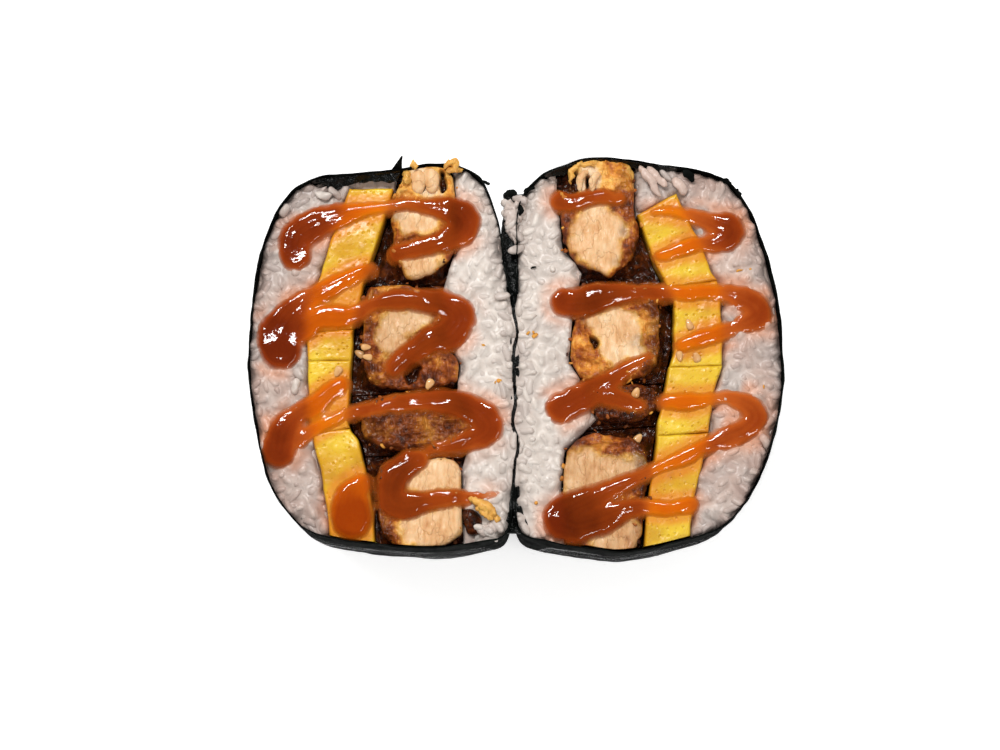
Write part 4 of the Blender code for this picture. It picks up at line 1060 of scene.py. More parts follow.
def turned(points, yaw, tilt, roll):
    """Copies of one shape turned by roll, then tilt, then yaw: angles in, (copies, points, 3) out."""
    def spin(values, angle, a, b):
        c, s = np.cos(angle)[:, None], np.sin(angle)[:, None]
        first, second = values[..., a] * c - values[..., b] * s, values[..., a] * s + values[..., b] * c
        values[..., a], values[..., b] = first, second
    for angle, axes in ((roll, (1, 2)), (tilt, (2, 0)), (yaw, (0, 1))):
        spin(points, angle, *axes)
    return points


def copies(shape, places, sizes, yaw, tilt, roll, bend):
    """One shape copied to many places: scaled, bent along its length, turned and moved."""
    many = shape[None] * sizes[:, None, :] / 2
    many[..., 2] -= bend[:, None] * many[..., 0] ** 2 / sizes[:, None, 0]
    many = turned(many, yaw, tilt, roll)
    return many + places[:, None, :]


def scattered(name, many, faces, finish, slot, **values):
    """Every copy of a shape in one piece; a value for each copy is spread over its points."""
    count, points = many.shape[:2]
    first = points * np.arange(count)[:, None, None]
    blocks = [(block + first).reshape(-1, block.shape[1]) for block in faces]
    spread = {key: np.broadcast_to(np.reshape(value, (count, -1)), (count, points))
              for key, value in values.items()}
    return piece(name, many.reshape(-1, 3), blocks, finish, slot, (), **spread)


def pressed(points, centres, outline, margin):
    """Points past a border are drawn back towards their grain's middle until they touch it."""
    depth = depth_inside(points[..., :2], outline) - margin
    own = np.maximum(depth_inside(centres[:, :2], outline) - margin, 0)[:, None]
    share = np.where(depth < 0, own / np.maximum(own - depth, 1e-9), 1)
    return centres[:, None] + (points - centres[:, None]) * share[..., None]


# A small dark pocket in the rice at the near side
POCKET = closed_curve([(-12.6, -40.6), (-9.2, -41.6), (-8.6, -44.6), (-10.6, -47.6), (-12.8, -46.4)])


def spine_sway(cup, y):
    """How far the rice's border wanders along the spine, the same way in both halves."""
    return 0.7 * MM * noise(y, 6 * MM, 4) * (1 if cup is left_cup else -1)


def stained(points):
    """How much sauce has seeped in: most beside a stroke, in patches, and a trace in the outer beds."""
    near = smoothstep(-4.5 * MM, 0.2 * MM, read_map(sauce_depth, points)) ** 1.5
    patch = np.clip(0.55 + 0.9 * rough(points[..., :2], 7 * MM, 2, 8), 0, 1)
    outer = smoothstep(38 * MM, 48 * MM, np.abs(points[..., 0]))
    return np.clip(0.5 * near * patch + 0.14 * outer * patch, 0, 1)


# Layers of grains from the top down: how low, their spacing both ways, and the share that is laid
LAYERS = ((0.0, 2.9, 2.5, 1.0), (0.8, 2.9, 2.5, 0.75), (1.7, 3.2, 2.8, 0.9))


def grain_places(cup, outline, rng):
    """Rows of X, Y, Z and nearness to the wall, on lattices shaken at random."""
    layers = []
    for layer, (drop, wide, deep, share) in enumerate(LAYERS):
        x, y = np.meshgrid(np.arange(-0.071, 0.071, wide * MM) + 0.9 * MM * layer,
                           np.arange(-0.053, 0.053, deep * MM) + 1.3 * MM * layer)
        x = x + (np.arange(len(x)) % 2)[:, None] * wide / 2 * MM
        spots = np.column_stack([x.ravel(), y.ravel()]) + rng.uniform(-0.8, 0.8, (x.size, 2)) * MM
        wall = depth_inside(spots, cup.ring) - fold_width(spots)
        keep = (depth_inside(spots, outline) > 0.7 * MM) & (rng.random(len(spots)) < share)
        keep &= wall > (1.0 - 0.9 * near_spine(spots) * (layer == 0)) * MM
        keep &= depth_inside(spots, POCKET) < 0
        edge = np.clip(wall / (5 * MM), 0, 1)
        z = (RICE_LEVEL - drop * MM + 0.4 * MM * rough(spots, 11 * MM, 2, 31) - 0.5 * MM * (1 - edge)
             + 0.8 * MM * near_spine(spots)
             - 0.5 * MM * smoothstep(0.4 * MM, 1.6 * MM, read_map(sauce_depth, spots))
             + rng.uniform(-0.35, 0.35, len(spots)) * MM)
        layers.append(np.column_stack([spots, z, edge])[keep])
    return np.vstack(layers)


def lay_grains(name, seed):
    """Grains of many sizes, pressed flat where they meet seaweed or a border."""
    cup, outline = RICE_BEDS[name]
    rng = np.random.default_rng(seed)
    rows = grain_places(cup, outline, rng)
    count = len(rows)
    shape, faces = grain_shape()
    sizes = GRAIN * rng.uniform(0.78, 1.16, (count, 3))
    sizes[:, 0] *= np.where(rng.random(count) < 0.25, rng.uniform(0.5, 0.8, count), 1.0)
    many = copies(shape, rows[:, :3], sizes, rng.uniform(0, math.pi, count), rng.normal(0, 0.32, count),
                  rng.uniform(0, 2 * math.pi, count), rng.uniform(0.0, 0.6, count))
    many = shaken(many, 0.26 * MM, 1.7 * MM)
    many = pressed(many, rows[:, :3], outline, 0.15 * MM)
    spine = near_spine(rows[:, :2])[:, None, None]
    sway = spine_sway(cup, rows[:, 1:2])[:, None, None]
    many = np.where(spine > 0.5, cup.hold(many, sway + 0.1 * MM), cup.hold(many, 0.4 * MM))
    # Grains near the seaweed wall get a higher tone as painted shade; the outer beds are darker too.
    tone = np.clip(rng.random(count) * 0.4 + 0.35 * (1 - rows[:, 3]) + 0.55 * ("outer" in name), 0, 1)
    scattered(f"{name}_grains", many, faces, RICE_FINISH, "rice", tone=tone, stain=stained(many))
    return many.reshape(-1, 3)


grain_points = [lay_grains(name, 100 + number) for number, name in enumerate(RICE_BEDS)]

# %% The paste that binds the grains
def raised(height, clouds, fill):
    """A map lifted to the highest point in each cell; empty cells borrow from their neighbours."""
    for points in clouds:
        at = np.rint((points[:, :2] - LOW) / CELL).astype(int)
        ok = ((at >= 0) & (at < SIZE)).all(axis=1)
        np.maximum.at(height, (at[ok, 0], at[ok, 1]), points[ok, 2])
    for _ in range(fill):
        around = np.stack([np.roll(height, shift, axis) for shift in (-1, 1) for axis in (0, 1)])
        height = np.maximum(height, around.max(axis=0) - 0.2 * MM)
    return height


def lay_paste(name):
    """Starch fills the chinks: the grains' own height map, softened and a little lower."""
    cup, outline = RICE_BEDS[name]
    wall = depth_inside(lattice, cup.ring[::6]) - fold_width(lattice)
    border = depth_inside(lattice, outline)
    edge = 0.4 * MM - 0.2 * MM * near_spine(lattice)
    sway = spine_sway(cup, lattice[..., 1:]) * near_spine(lattice)
    field = np.minimum.reduce([border + 0.25 * MM, wall - edge - sway, -depth_inside(lattice, POCKET)])
    # Near the seaweed or a layer border the paste sinks, and its tone rises as painted shade.
    slack_and_shade = 1 - np.clip(np.minimum(wall / (5 * MM), border / (1.2 * MM)), 0, 1)
    top = np.minimum(paste_height - 0.45 * MM * slack_and_shade, CUT - 0.1 * MM)
    tone = 0.2 + 0.5 * ("outer" in name) + 0.25 * rough(lattice, 5 * MM, 2, 12) + 0.4 * slack_and_shade
    lattice_skin(f"{name}_paste", field, top, top * 0 + CUT - 4.5 * MM, 1, RICE_FINISH, "rice",
                 tone=np.clip(tone, 0, 1), stain=stained(lattice))


rice_height = raised(np.full(SIZE, CUT - 4 * MM), grain_points, 3)
paste_height = np.maximum(soften(rice_height, 1.2) + 0.12 * MM, soften(rice_height, 3.0) - 0.02 * MM)
for bed in RICE_BEDS:
    lay_paste(bed)

# %% [markdown]
# ## Loose ends
#
# What makes the cut face look real are the things that stand off it: single
# grains along the spine, shreds of meat, knobs of crust, flakes of seaweed.
# Each could be sculpted; here grains are more copies of the spindle, and the
# rest are short lumpy tubes along curves, drawn where they lie.

# %% Loose grains
LOOSE = np.array([(-1.9, 39.8, -0.2), (-0.2, 37.6, 0.2), (-2.0, 36.4, -0.4), (1.4, 41.0, 0.2),
                  (-0.9, 34.4, 0.0), (0.6, 31.6, 0.3), (0.2, 27.6, 0.1), (-3.4, 15.2, 0.4),
                  (-55.9, -5.2, 0.3), (-56.7, -8.6, 0.2), (-9.6, -44.8, -0.8), (-7.2, -45.6, -0.6),
                  (-4.6, -44.4, -0.4), (-6.0, -46.6, -1.0), (64.4, -22.6, 0.2), (39.6, 47.4, -0.2),
                  (-60.2, 38.2, 0.0), (-50.4, 42.0, 0.2), (-47.2, 42.8, 0.1)])


def loose_grains():
    """Single plump grains that lie free on top: X, Y and height over the cut."""
    rng = np.random.default_rng(77)
    shape, faces = grain_shape(14, 10)
    count = len(LOOSE)
    places = np.column_stack([plan(LOOSE[:, :2]), CUT + MM * (LOOSE[:, 2] - 0.4)])
    many = copies(shape, places, GRAIN * rng.uniform(0.85, 1.1, (count, 3)), rng.uniform(0, math.pi, count),
                  rng.normal(0, 0.3, count), rng.uniform(0, 6, count), rng.uniform(0, 0.5, count))
    many = shaken(many, 0.3 * MM, 1.9 * MM)
    scattered("rice_loose_grains", many, faces, RICE_FINISH, "rice", tone=rng.uniform(0.2, 0.8, count),
              stain=0.5 * stained(many))


loose_grains()

# %% Shreds, strips and bits as short tubes
def strands(name, paths, finish, slot, lumpy=0.2, flat=0.9, **constants):
    """Tubes along curves, as one piece. A path is rows of X, Y, height over the cut and radius, in mm.

    The ring stands square to the path: its side is path cross up. Both ends are rounded off.
    """
    around = 16
    turn = np.linspace(0, 2 * math.pi, around, endpoint=False)[None, :, None]
    points, faces, first = [], [], 0
    for number, path in enumerate(paths):
        rows = smooth_curve(path, 9, closed=False)
        middle = np.column_stack([plan(rows[:, :2]), CUT + MM * rows[:, 2]])
        along = np.gradient(middle, axis=0)
        side = unit(np.cross(along, (0, 0, 1.0)))
        up = np.cross(side, unit(along))
        taper = np.sqrt(1 - 0.95 * np.linspace(-1, 1, len(rows)) ** 4)
        radius = (MM * rows[:, 3] * taper)[:, None, None]
        height = flat * np.sin(turn) * up[:, None]
        rings = middle[:, None] + radius * (np.cos(turn) * side[:, None] + height)
        rings = shaken(rings, lumpy * MM, 1.3 * MM, 3, number, 5)
        count = len(rings) * around
        points += [rings.reshape(-1, 3), rings[0].mean(axis=0)[None], rings[-1].mean(axis=0)[None]]
        faces += [grid_faces(len(rings), around, first=first)[:, ::-1],
                  fan_faces(first + np.arange(around), first + count, True),
                  fan_faces(first + count - around + np.arange(around), first + count + 1, False)]
        first += count + 2
    values = {key: np.full(first, value) for key, value in constants.items()}
    return piece(name, np.vstack(points), faces, finish, slot, (), **values)


strands("meat_shreds", [
    [(-26.2, 48.6, 0.2, 1.6), (-25.0, 46.0, 0.4, 1.9), (-25.6, 42.6, 0.1, 1.6)],
    [(-23.4, 48.8, 0.2, 1.5), (-21.8, 46.4, 0.5, 2.0), (-22.0, 42.6, 0.1, 1.5)],
    [(16.8, 43.0, 0.3, 0.7), (17.0, 46.4, 0.9, 0.9), (19.0, 48.6, 0.5, 0.7)],
    [(20.3, 43.0, 0.3, 0.8), (20.4, 46.2, 0.9, 0.9), (22.4, 48.0, 0.4, 0.7)]],
    CHICKEN_FINISH, "chicken", meat=1.0, soaked=0.0, toast=0.6, lumpy=0.18, flat=0.5)
strands("crust_knobs", [
    [(-27.2, 49.2, 0.3, 0.8), (-26.6, 50.2, 0.5, 1.0), (-25.8, 50.4, 0.3, 0.8)],
    [(-28.8, 48.4, 0.2, 1.0), (-28.4, 46.8, 0.4, 1.3), (-29.0, 45.0, 0.1, 1.0)],
    [(-18.3, 49.4, 0.4, 0.7), (-16.6, 50.7, 0.7, 0.9), (-14.4, 49.8, 0.5, 0.8)],
    [(-17.6, 48.8, 0.4, 0.7), (-15.8, 49.2, 0.6, 0.8), (-13.6, 48.6, 0.3, 0.6)],
    [(14.6, 45.2, 0.1, 0.5), (14.9, 48.6, 0.6, 0.7), (17.6, 50.2, 0.6, 0.7), (20.9, 49.8, 0.3, 0.6)],
    [(-12.0, -37.9, 0.2, 0.8), (-9.2, -38.8, 0.4, 1.1), (-6.4, -40.6, 0.3, 1.1), (-4.2, -43.6, 0.0, 0.8)],
    [(-10.4, -39.6, 0.0, 0.7), (-7.8, -41.4, 0.2, 0.9), (-5.6, -43.4, 0.0, 0.8)]],
    CHICKEN_FINISH, "chicken", meat=0.45, soaked=0.0, toast=0.8, lumpy=0.6)
# The pocket's floor is sauce-dark chicken at its darkest, and this also stands as painted shade at the bottom
# of the pocket.
strands("pocket_floor", [[(-13.0, -40.0, -2.6, 2.0), (-10.8, -43.4, -2.6, 2.4), (-11.0, -47.0, -2.6, 2.0)]],
        CHICKEN_FINISH, "chicken", meat=0.0, soaked=1.0, toast=0.0)
strands("rice_clump", [
    [(-1.4, 41.0, -1.0, 1.2), (-1.2, 38.0, -0.7, 1.8), (-0.8, 34.0, -0.6, 1.7), (0.2, 29.6, -0.7, 1.1)],
    [(1.2, 42.0, -0.8, 1.2), (1.0, 38.6, -0.6, 1.4), (1.4, 35.0, -0.6, 1.2)],
    [(-10.0, -44.6, -1.4, 1.2), (-7.0, -45.6, -1.2, 1.4), (-4.2, -44.6, -1.2, 1.2)]],
    RICE_FINISH, "rice", tone=0.6, stain=0.05, lumpy=0.7)
strands("pale_strips", [
    [(32.6, 50.0, 0.2, 0.9), (35.2, 46.4, 0.6, 1.1), (37.8, 41.8, 0.3, 1.0)],
    [(34.8, 50.0, 0.0, 0.8), (37.4, 46.6, 0.3, 1.0), (39.8, 44.4, 0.2, 0.8)],
    [(41.4, 46.6, 0.2, 1.2), (43.4, 44.6, 0.5, 1.4), (44.2, 42.0, 0.2, 1.0)]],
    RICE_FINISH, "rice", tone=0.5, stain=0.2, lumpy=0.35, flat=0.7)
strands("seaweed_bits", [
    [(-3.2, 42.2, -0.3, 0.5), (-1.2, 42.9, 0.1, 0.7), (0.6, 42.4, -0.2, 0.5)],
    [(2.2, 43.2, 0.0, 0.4), (4.0, 44.0, 0.2, 0.5), (5.2, 44.2, 0.0, 0.4)],
    [(0.9, 39.6, 0.2, 0.5), (1.6, 38.0, 0.5, 0.6), (1.2, 36.4, 0.2, 0.4)],
    [(-8.4, 46.2, -0.2, 0.3), (-7.4, 45.4, 0.1, 0.4), (-6.4, 45.0, 0.0, 0.3)],
    [(43.9, 48.8, 0.1, 0.8), (45.6, 47.4, 0.3, 1.0), (46.8, 45.8, 0.1, 0.7)],
    [(53.8, 46.4, 0.1, 0.6), (55.6, 45.8, 0.2, 0.7), (56.6, 45.0, 0.0, 0.5)],
    [(57.6, 43.8, 0.1, 0.5), (58.6, 42.6, 0.2, 0.6), (58.8, 41.6, 0.0, 0.4)],
    [(4.2, 22.7, -0.1, 0.2), (5.0, 22.9, 0.0, 0.3), (5.6, 23.0, -0.1, 0.2)]],
    NORI_FINISH, "nori", lumpy=0.3)

# %% [markdown]
# ## Sauce
#
# A thick sauce squeezed from a bottle in zigzags: glossy, orange where it is
# thin and red-brown where it is deep. Fluid simulation is out of proportion.
# The stroke map gives its outline, the height of the food under it gives its
# bed, and its own thickness rises from nothing at the edge to a rounded middle.

# %% Sauce finish
def sauce_finish():
    """Colour by thickness, more orange over omelette, with a wet coat."""
    finish = Finish("drizzled_sauce", Roughness=0.07, Subsurface_Weight=0.05, Subsurface_Scale=0.001,
                    Subsurface_Radius=(1.0, 0.3, 0.08), Specular_IOR_Level=0.55)
    cloud = finish.grain(2.5 * MM, 3.0)
    amount = finish.value("thick") + (cloud - 0.5) * 0.25
    over_rice = finish.ramp(amount, (0.05, srgb(214, 128, 66)), (0.3, srgb(182, 86, 30)),
                            (0.65, srgb(140, 54, 16)), (1.0, srgb(104, 34, 10)))
    over_egg = finish.ramp(amount, (0.05, srgb(224, 126, 14)), (0.4, srgb(200, 92, 10)),
                           (1.0, srgb(148, 56, 8)))
    over_meat = finish.ramp(amount, (0.05, srgb(190, 96, 30)), (0.4, srgb(148, 60, 16)),
                            (1.0, srgb(88, 30, 8)))
    color = finish.mix(finish.value("on_egg"), over_rice, over_egg)
    color = finish.mix(finish.value("on_meat"), color, over_meat)
    finish.relief(finish.grain(1.1 * MM, 3.0), 0.16 * MM)
    cover = finish.band(finish.value("edge") + (cloud - 0.5) * 0.5, 0.0, 1.0)
    return finish.set(Base_Color=color, Alpha=cover)


SAUCE_FINISH = sauce_finish()

# %% The height of the food under the sauce
food = raised(np.maximum(rice_height, CUT - 6 * MM), egg_tops + chicken_tops, 2)
bed_height = soften(np.maximum(food, CUT - 2.0 * MM), 5.0)
border_height = soften(np.maximum(food, CUT - 2.4 * MM), 1.2) - 0.35 * MM

# %% The sauce itself
def zone_map(outlines):
    """1 on lattice points inside any of these outlines, softened at the border."""
    total = np.zeros(SIZE)
    for outline in outlines:
        total = np.maximum(total, depth_inside(lattice, outline) > 0)
    return soften(total, 3.5)


def lay_sauce():
    """Top height is bed plus thickness. Thickness grows with depth as a rounded shoulder,
    and two faint crests run along the stroke's middle where it left the nozzle.
    """
    share = np.clip(sauce_depth / np.minimum(sauce_half + SPREAD, 3.0 * MM), 0, 1)
    full = 0.3 * MM + 0.25 * sauce_half
    shoulder = np.sqrt(share * (2 - share)) ** 1.9
    crests = np.exp(-((off_middle - 0.8 * MM) / (0.35 * MM)) ** 2)
    crests = crests - 0.8 * np.exp(-(off_middle / (0.45 * MM)) ** 2)
    wave = 0.08 * MM * rough(lattice, 5 * MM, 2, 3)
    thick = (full + 0.05 * MM * crests + wave) * shoulder
    inner = smoothstep(0.1 * MM, 1.8 * MM, sauce_depth)
    base = border_height + (bed_height - 0.1 * MM - border_height) * inner
    on_egg = zone_map([np.vstack([RICE_EGG_LEFT, EGG_CHICKEN_LEFT[:0:-1]]),
                       np.vstack([CHICKEN_EGG_RIGHT[1:], EGG_RICE_RIGHT[::-1]])])
    on_meat = zone_map([np.vstack([EGG_CHICKEN_LEFT, CHICKEN_RICE_LEFT[::-1]]),
                        np.vstack([RICE_CHICKEN_RIGHT, CHICKEN_EGG_RIGHT[::-1]])])
    for side, own in (("left", lattice[..., 0] < 0), ("right", lattice[..., 0] > 0)):
        lattice_skin(f"sauce_{side}", np.where(own, sauce_depth, -CELL), base + thick, base - 1.0 * MM, 1,
                     SAUCE_FINISH, "sauce", thick=np.clip(thick / (1.5 * MM), 0, 1) ** 1.6,
                     edge=sauce_depth / (1.7 * MM), on_egg=on_egg, on_meat=on_meat)


lay_sauce()

# %% [markdown]
# ## Sesame and crumbs
#
# A few hulled sesame seeds lie on the omelette and the chicken, and golden
# crumbs of crust have fallen on the rice. Both are the same small spindle as a
# grain of rice: flat and pointed for a seed, lumpy for a crumb.

# %% Seeds
def seed_finish():
    """Tan and satin, darker at the tip."""
    finish = Finish("sesame", Roughness=0.35, Coat_Weight=0.3)
    color = finish.mix(finish.grain(1.2 * MM, 2.0), srgb(186, 120, 62), srgb(232, 190, 130))
    finish.relief(finish.grain(0.4 * MM, 2.0), 0.05 * MM)
    return finish.set(Base_Color=color)


SEED = np.array([2.9, 1.8, 0.9]) * MM
SEEDS = plan([(-45.8, -4.6), (-38.6, 1.8), (-38.2, -0.8), (-40.4, 0.6), (31.2, -10.2), (45.2, 7.8),
              (42.6, -0.6), (47.0, -0.9), (31.8, -21.6), (-22.1, -8.0)])


def lay_seeds():
    """Flat drops of one shape, each turned its own way on the food below it."""
    rng = np.random.default_rng(5)
    shape, faces = grain_shape(14, 9)
    shape = shape * np.column_stack([np.ones(len(shape)), *[1 - 0.35 * shape[:, 0]] * 2])
    count = len(SEEDS)
    z = read_map(soften(food, 1.0), SEEDS) + 0.35 * MM
    many = copies(shape, np.column_stack([SEEDS, z]), SEED * rng.uniform(0.9, 1.1, (count, 3)),
                  rng.uniform(0, 6, count), rng.normal(0, 0.12, count), np.zeros(count), np.zeros(count))
    scattered("sesame_seeds", many, faces, seed_finish(), "sesame")


lay_seeds()

# %% Crumbs
def crumb_finish():
    """Golden to brown, dry and rough."""
    finish = Finish("crumbs", Roughness=0.6, Subsurface_Weight=0.1, Subsurface_Scale=0.001)
    color = finish.ramp(finish.value("tone"), (0.0, srgb(222, 158, 64)), (0.4, srgb(160, 84, 24)),
                        (1.0, srgb(60, 22, 8)))
    finish.relief(finish.grain(0.5 * MM, 3.0), 0.2 * MM)
    return finish.set(Base_Color=color)


CRUMBS_A_CHUNK = 22
FALLEN = plan([(-16, 50.2), (-14.5, 50.0), (-5.2, -7.4), (-4.2, -7.0), (-8.2, 2.4), (3.4, 5.4), (5.2, 5.0),
               (4.6, 5.8), (5.2, -38.6), (-11, -38.4), (-8.4, -40), (-6.2, -40.4), (-7.4, -42.2),
               (-9.8, -39.2), (-5.2, -43.6), (61.2, 22.4), (58.6, 22.2), (64.4, -8.4)])


def crumb_places(rng):
    """Crumbs along every chunk's rim, and the few that fell on the rice."""
    spots = []
    for outline in CHICKEN.values():
        ring = even_steps(closed_curve(outline, 10), CRUMBS_A_CHUNK)
        spots.append(ring + rng.normal(0, 0.8, ring.shape) * MM)
    return np.vstack([*spots, FALLEN])


def lay_crumbs():
    """Lumpy copies of the spindle: each point is pushed by noise, so no two are alike."""
    rng = np.random.default_rng(12)
    spots = crumb_places(rng)
    keep = np.maximum(depth_inside(spots, left_cup.ring), depth_inside(spots, right_cup.ring)) > 1.2 * MM
    fallen = (np.arange(len(spots)) >= CRUMBS_A_CHUNK * len(CHICKEN))[keep]
    spots = spots[keep]
    count = len(spots)
    shape, faces = grain_shape(7, 4)
    z = read_map(soften(food, 1.5), spots) - 0.2 * MM + 0.35 * MM * fallen
    sizes = rng.uniform(0.6, 1.6, (count, 1)) * rng.uniform(0.6, 1.2, (count, 3)) * (1.2, 1.0, 0.6) * MM
    many = copies(shape, np.column_stack([spots, z]), sizes, rng.uniform(0, 6, count),
                  rng.uniform(-1, 1, count), rng.uniform(0, 6, count), np.zeros(count))
    many = shaken(many, 0.28 * MM, 0.9 * MM)
    # Crumbs more than 1.5 mm under the cut are darker: painted shade down in the clefts.
    tone = np.clip(rng.random(count) + 0.35 * (z < CUT - 1.5 * MM), 0, 1) * (1 - 0.9 * fallen)
    scattered("crust_crumbs", many, faces, crumb_finish(), "chicken", tone=tone)


lay_crumbs()

# %% [markdown]
# ## Loose seaweed and the film
#
# Where the halves part at the far side, the uncut seaweed shows face up in the
# notch, and a torn corner stands up. The clear film follows both halves and
# spans the notch. Real film is thinner than paper: a skin given a hair of
# thickness, mostly see-through, its wrinkles whiter as painted highlight. Its
# lower edge fades out, because the real one goes on round the back.

# %% Seaweed in the notch and the torn corner
# The strip's Y, its X on the left and its X on the right, in millimetres
STRIP = np.array([(42.6, -3.0, 2.2), (39.0, -3.1, 1.6), (34.0, -3.4, 0.8), (30.0, -3.5, 0.5),
                  (25.0, -3.3, 0.5), (20.0, -2.6, 0.7), (16.0, -1.8, 1.0), (11.0, -1.0, 1.0),
                  (-37.0, -1.0, 1.0), (-41.0, -2.0, 2.0), (-44.0, -2.8, 3.2), (-46.4, -2.6, 3.6)])


def notch_strip():
    """A strip down the spine, ragged at its left side and far end, sagging a little between the two walls."""
    along, across = np.meshgrid(np.linspace(0, 1, 260), np.linspace(0, 1, 16), indexing="ij")
    y = MM * (STRIP[0, 0] + (STRIP[-1, 0] - STRIP[0, 0]) * along)
    first = MM * np.interp(-y, -MM * STRIP[:, 0], STRIP[:, 1])
    second = MM * np.interp(-y, -MM * STRIP[:, 0], STRIP[:, 2])
    ragged = 0.35 * MM * rough(np.stack([first, y], axis=-1), 2.5 * MM, 3, 8)
    x = first + ragged * (1 - across) + (second - first) * across
    y = y + 0.5 * MM * rough(np.stack([x, y], axis=-1), 2 * MM, 2, 3) * (along < 0.02)
    flat = np.stack([x, y], axis=-1) - PLAN_MIDDLE
    z = CUT - 1.6 * MM - 0.6 * MM * np.sin(math.pi * across) + 0.5 * MM * rough(flat, 3 * MM, 3, 2)
    return sheet("nori_spine_strip", np.dstack([flat, z]), WET_NORI, "nori", ("nori_left",), 0.35 * MM)


def torn_corner():
    """A small triangle of seaweed that curls up and out from the rim."""
    along, across = np.meshgrid(np.linspace(0, 1, 24), np.linspace(-1, 1, 10), indexing="ij")
    width = 1.7 * MM * (1 - 0.93 * along)
    x = -31.2 * MM + across * width + 1.6 * MM * along ** 1.5
    y = 48.1 * MM + 2.6 * MM * along ** 1.3 + 0.2 * MM * across ** 2
    z = CUT - 1.0 * MM + 6.6 * MM * along
    return sheet("nori_torn_corner", np.dstack([x, y, z]), NORI_FINISH, "nori", ("nori_left",), 0.3 * MM)


notch_strip()
torn_corner()

# %% The film
def film_finish():
    """Mostly see-through with a sharp gloss; the creases are whiter and less clear as painted highlight."""
    finish = Finish("clear_wrap", Roughness=0.12, Specular_IOR_Level=0.6)
    crease = finish.grain(1.4 * MM, 2.0, finish.stretched(0.14, 0.5, 1.0))
    height = finish.node("ShaderNodeSeparateXYZ", {}, {"Vector": finish.place}, out=2)
    finish.relief(crease, 0.5 * MM)
    # Creases are whiter and less clear: painted highlight along the wrinkles.
    film_and_glint_cover = (0.012 + finish.band(crease, 0.56, 0.84) * 0.32) * finish.band(height, 14 * MM, 26 * MM)
    return finish.set(Base_Color=finish.mix(crease, srgb(206, 206, 214), srgb(246, 246, 250)), Alpha=film_and_glint_cover)


def film_loop(count=900):
    """Both halves' outlines run together: round the left, the near pleat, the right, the far span."""
    rings = []
    for cup, side in ((left_cup, -1), (right_cup, 1)):
        ring = cup.ring + 0.55 * MM * unit(cup.ring - cup.middle)
        ring = ring[side * ring[:, 0] > 8.6 * MM]
        jump = np.argmax(np.linalg.norm(ring - np.roll(ring, -1, axis=0), axis=1))
        rings.append(np.roll(ring, -jump - 1, axis=0))
    pleat = plan([(-3.0, -50.2), (-0.6, -49.9), (1.2, -49.4), (3.0, -50.4), (4.8, -51.6), (6.0, -50.6)])
    return even_steps(np.vstack([rings[0], pleat, rings[1]]), count)


def wrap():
    """The loop at many heights, drawn in with the cups' rounding and creased by noise."""
    loop = film_loop()
    heights = np.linspace(13.5 * MM, CUT - 0.9 * MM, 26)
    rows = []
    for height in heights:
        cup_middle = np.where(loop[:, :1] < 0, left_cup.middle, right_cup.middle)
        reach = np.where(loop[:, :1] < 0, left_cup.reach, right_cup.reach)
        pull = left_cup.shrinkage(height, 0.0) * smoothstep(8 * MM, 20 * MM, np.abs(loop[:, :1]))
        rows.append(np.column_stack([cup_middle + (loop - cup_middle) * (1 - pull / reach),
                                     np.full(len(loop), height)]))
    rows = np.stack(rows)
    free = smoothstep(14 * MM, 5 * MM, np.abs(loop[:, 0]))
    crease = (0.12 * MM + 0.6 * MM * free) * rough(rows * (1, 1, 0.35), 5 * MM, 3, 6)
    rows[..., :2] += unit(loop) * (crease + 0.15 * MM)[..., None]
    rows[..., 2] += 0.7 * MM * rough(rows, 9 * MM, 2, 4) * smoothstep(0.7 * CUT, CUT, rows[..., 2])
    low, high = (np.array(corner[:2]) for corner in cad_box)
    rows[..., :2] = np.clip(rows[..., :2], low + 0.1 * MM, high - 0.1 * MM)
    return sheet("clear_wrap", rows, film_finish(), "film", ("clear_film",), 0.05 * MM, around=True, offset=1)


wrap()

# %% [markdown]
# ## Floor, light and camera
#
# The photograph was taken from just in front of straight above, on white. A
# large soft lamp stands for the window, and two narrow strips make the thin
# bright lines on the wet sauce.

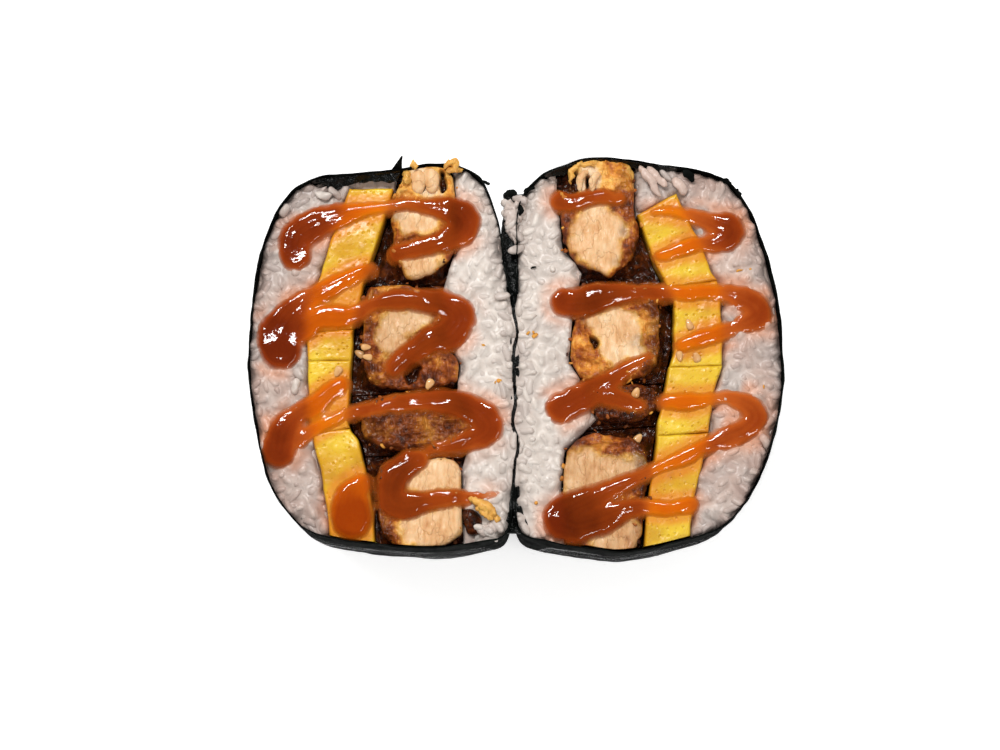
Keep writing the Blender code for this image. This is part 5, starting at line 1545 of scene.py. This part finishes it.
# %% Stage
def floor():
    """A pale floor well past the view."""
    mesh = bpy.data.meshes.new("floor")
    mesh.from_pydata([(-3, -3, 0), (3, -3, 0), (3, 3, 0), (-3, 3, 0)], [], [(0, 1, 2, 3)])
    finish = Finish("pale_floor", Roughness=0.9, Specular_IOR_Level=0.0, Emission_Strength=0.5,
                    Emission_Color=(1.0, 1.0, 1.0, 1.0))
    mesh.materials.append(finish.set(Base_Color=srgb(250, 250, 250)))
    obj = bpy.data.objects.new("floor", mesh)
    bpy.context.scene.collection.objects.link(obj)


def lamp(name, place, size, watts, mirrored, aim=(0, 0, 0.04)):
    """A rectangular area lamp aimed at the food; mirrored lamps also show in wet surfaces."""
    data = bpy.data.lights.new(name, "AREA")
    data.shape = "RECTANGLE"
    data.size, data.size_y = size
    data.energy = watts
    obj = bpy.data.objects.new(name, data)
    obj.location = place
    toward = (obj.location - Vector(aim)).to_track_quat("Z", "Y")
    obj.rotation_euler = toward.to_euler()
    obj.visible_glossy = mirrored
    bpy.context.scene.collection.objects.link(obj)


floor()
lamp("window", (-0.45, 0.55, 0.8), (0.8, 0.6), 5.2, False)
lamp("fill", (0.5, -0.5, 0.9), (0.9, 0.7), 2.2, False)
lamp("key", (-0.12, 0.4, 0.8), (0.3, 0.035), 3.2, True)
lamp("strip", (0.3, -0.25, 0.8), (0.3, 0.03), 1.1, True)
world = bpy.data.worlds.new("studio")
world.use_nodes = True
world.node_tree.nodes["Background"].inputs["Color"].default_value = (1.0, 0.985, 0.96, 1.0)
world.node_tree.nodes["Background"].inputs["Strength"].default_value = 0.42
world.cycles_visibility.glossy = False
bpy.context.scene.world = world
bpy.context.scene.view_settings.view_transform = "Standard"

# %% Camera
PIXEL = 0.2585 * MM          # what one pixel of the photograph covers at the cut
TILT = math.radians(9.0)     # off straight down, towards the near side
LENS, SENSOR = 85.0, 36.0
distance = LENS / SENSOR * 1000 * PIXEL
target = np.append(plan((-3.9, -5.5)), CUT)
data = bpy.data.cameras.new("camera")
data.lens, data.sensor_width = LENS, SENSOR
data.clip_start = 0.01
camera = bpy.data.objects.new("camera", data)
camera.location = target + distance * np.array([0, -math.sin(TILT), math.cos(TILT)])
camera.rotation_euler = (TILT, 0, 0)
bpy.context.scene.collection.objects.link(camera)
bpy.context.scene.camera = camera
print("camera", round(distance, 3), "m from the cut faces")
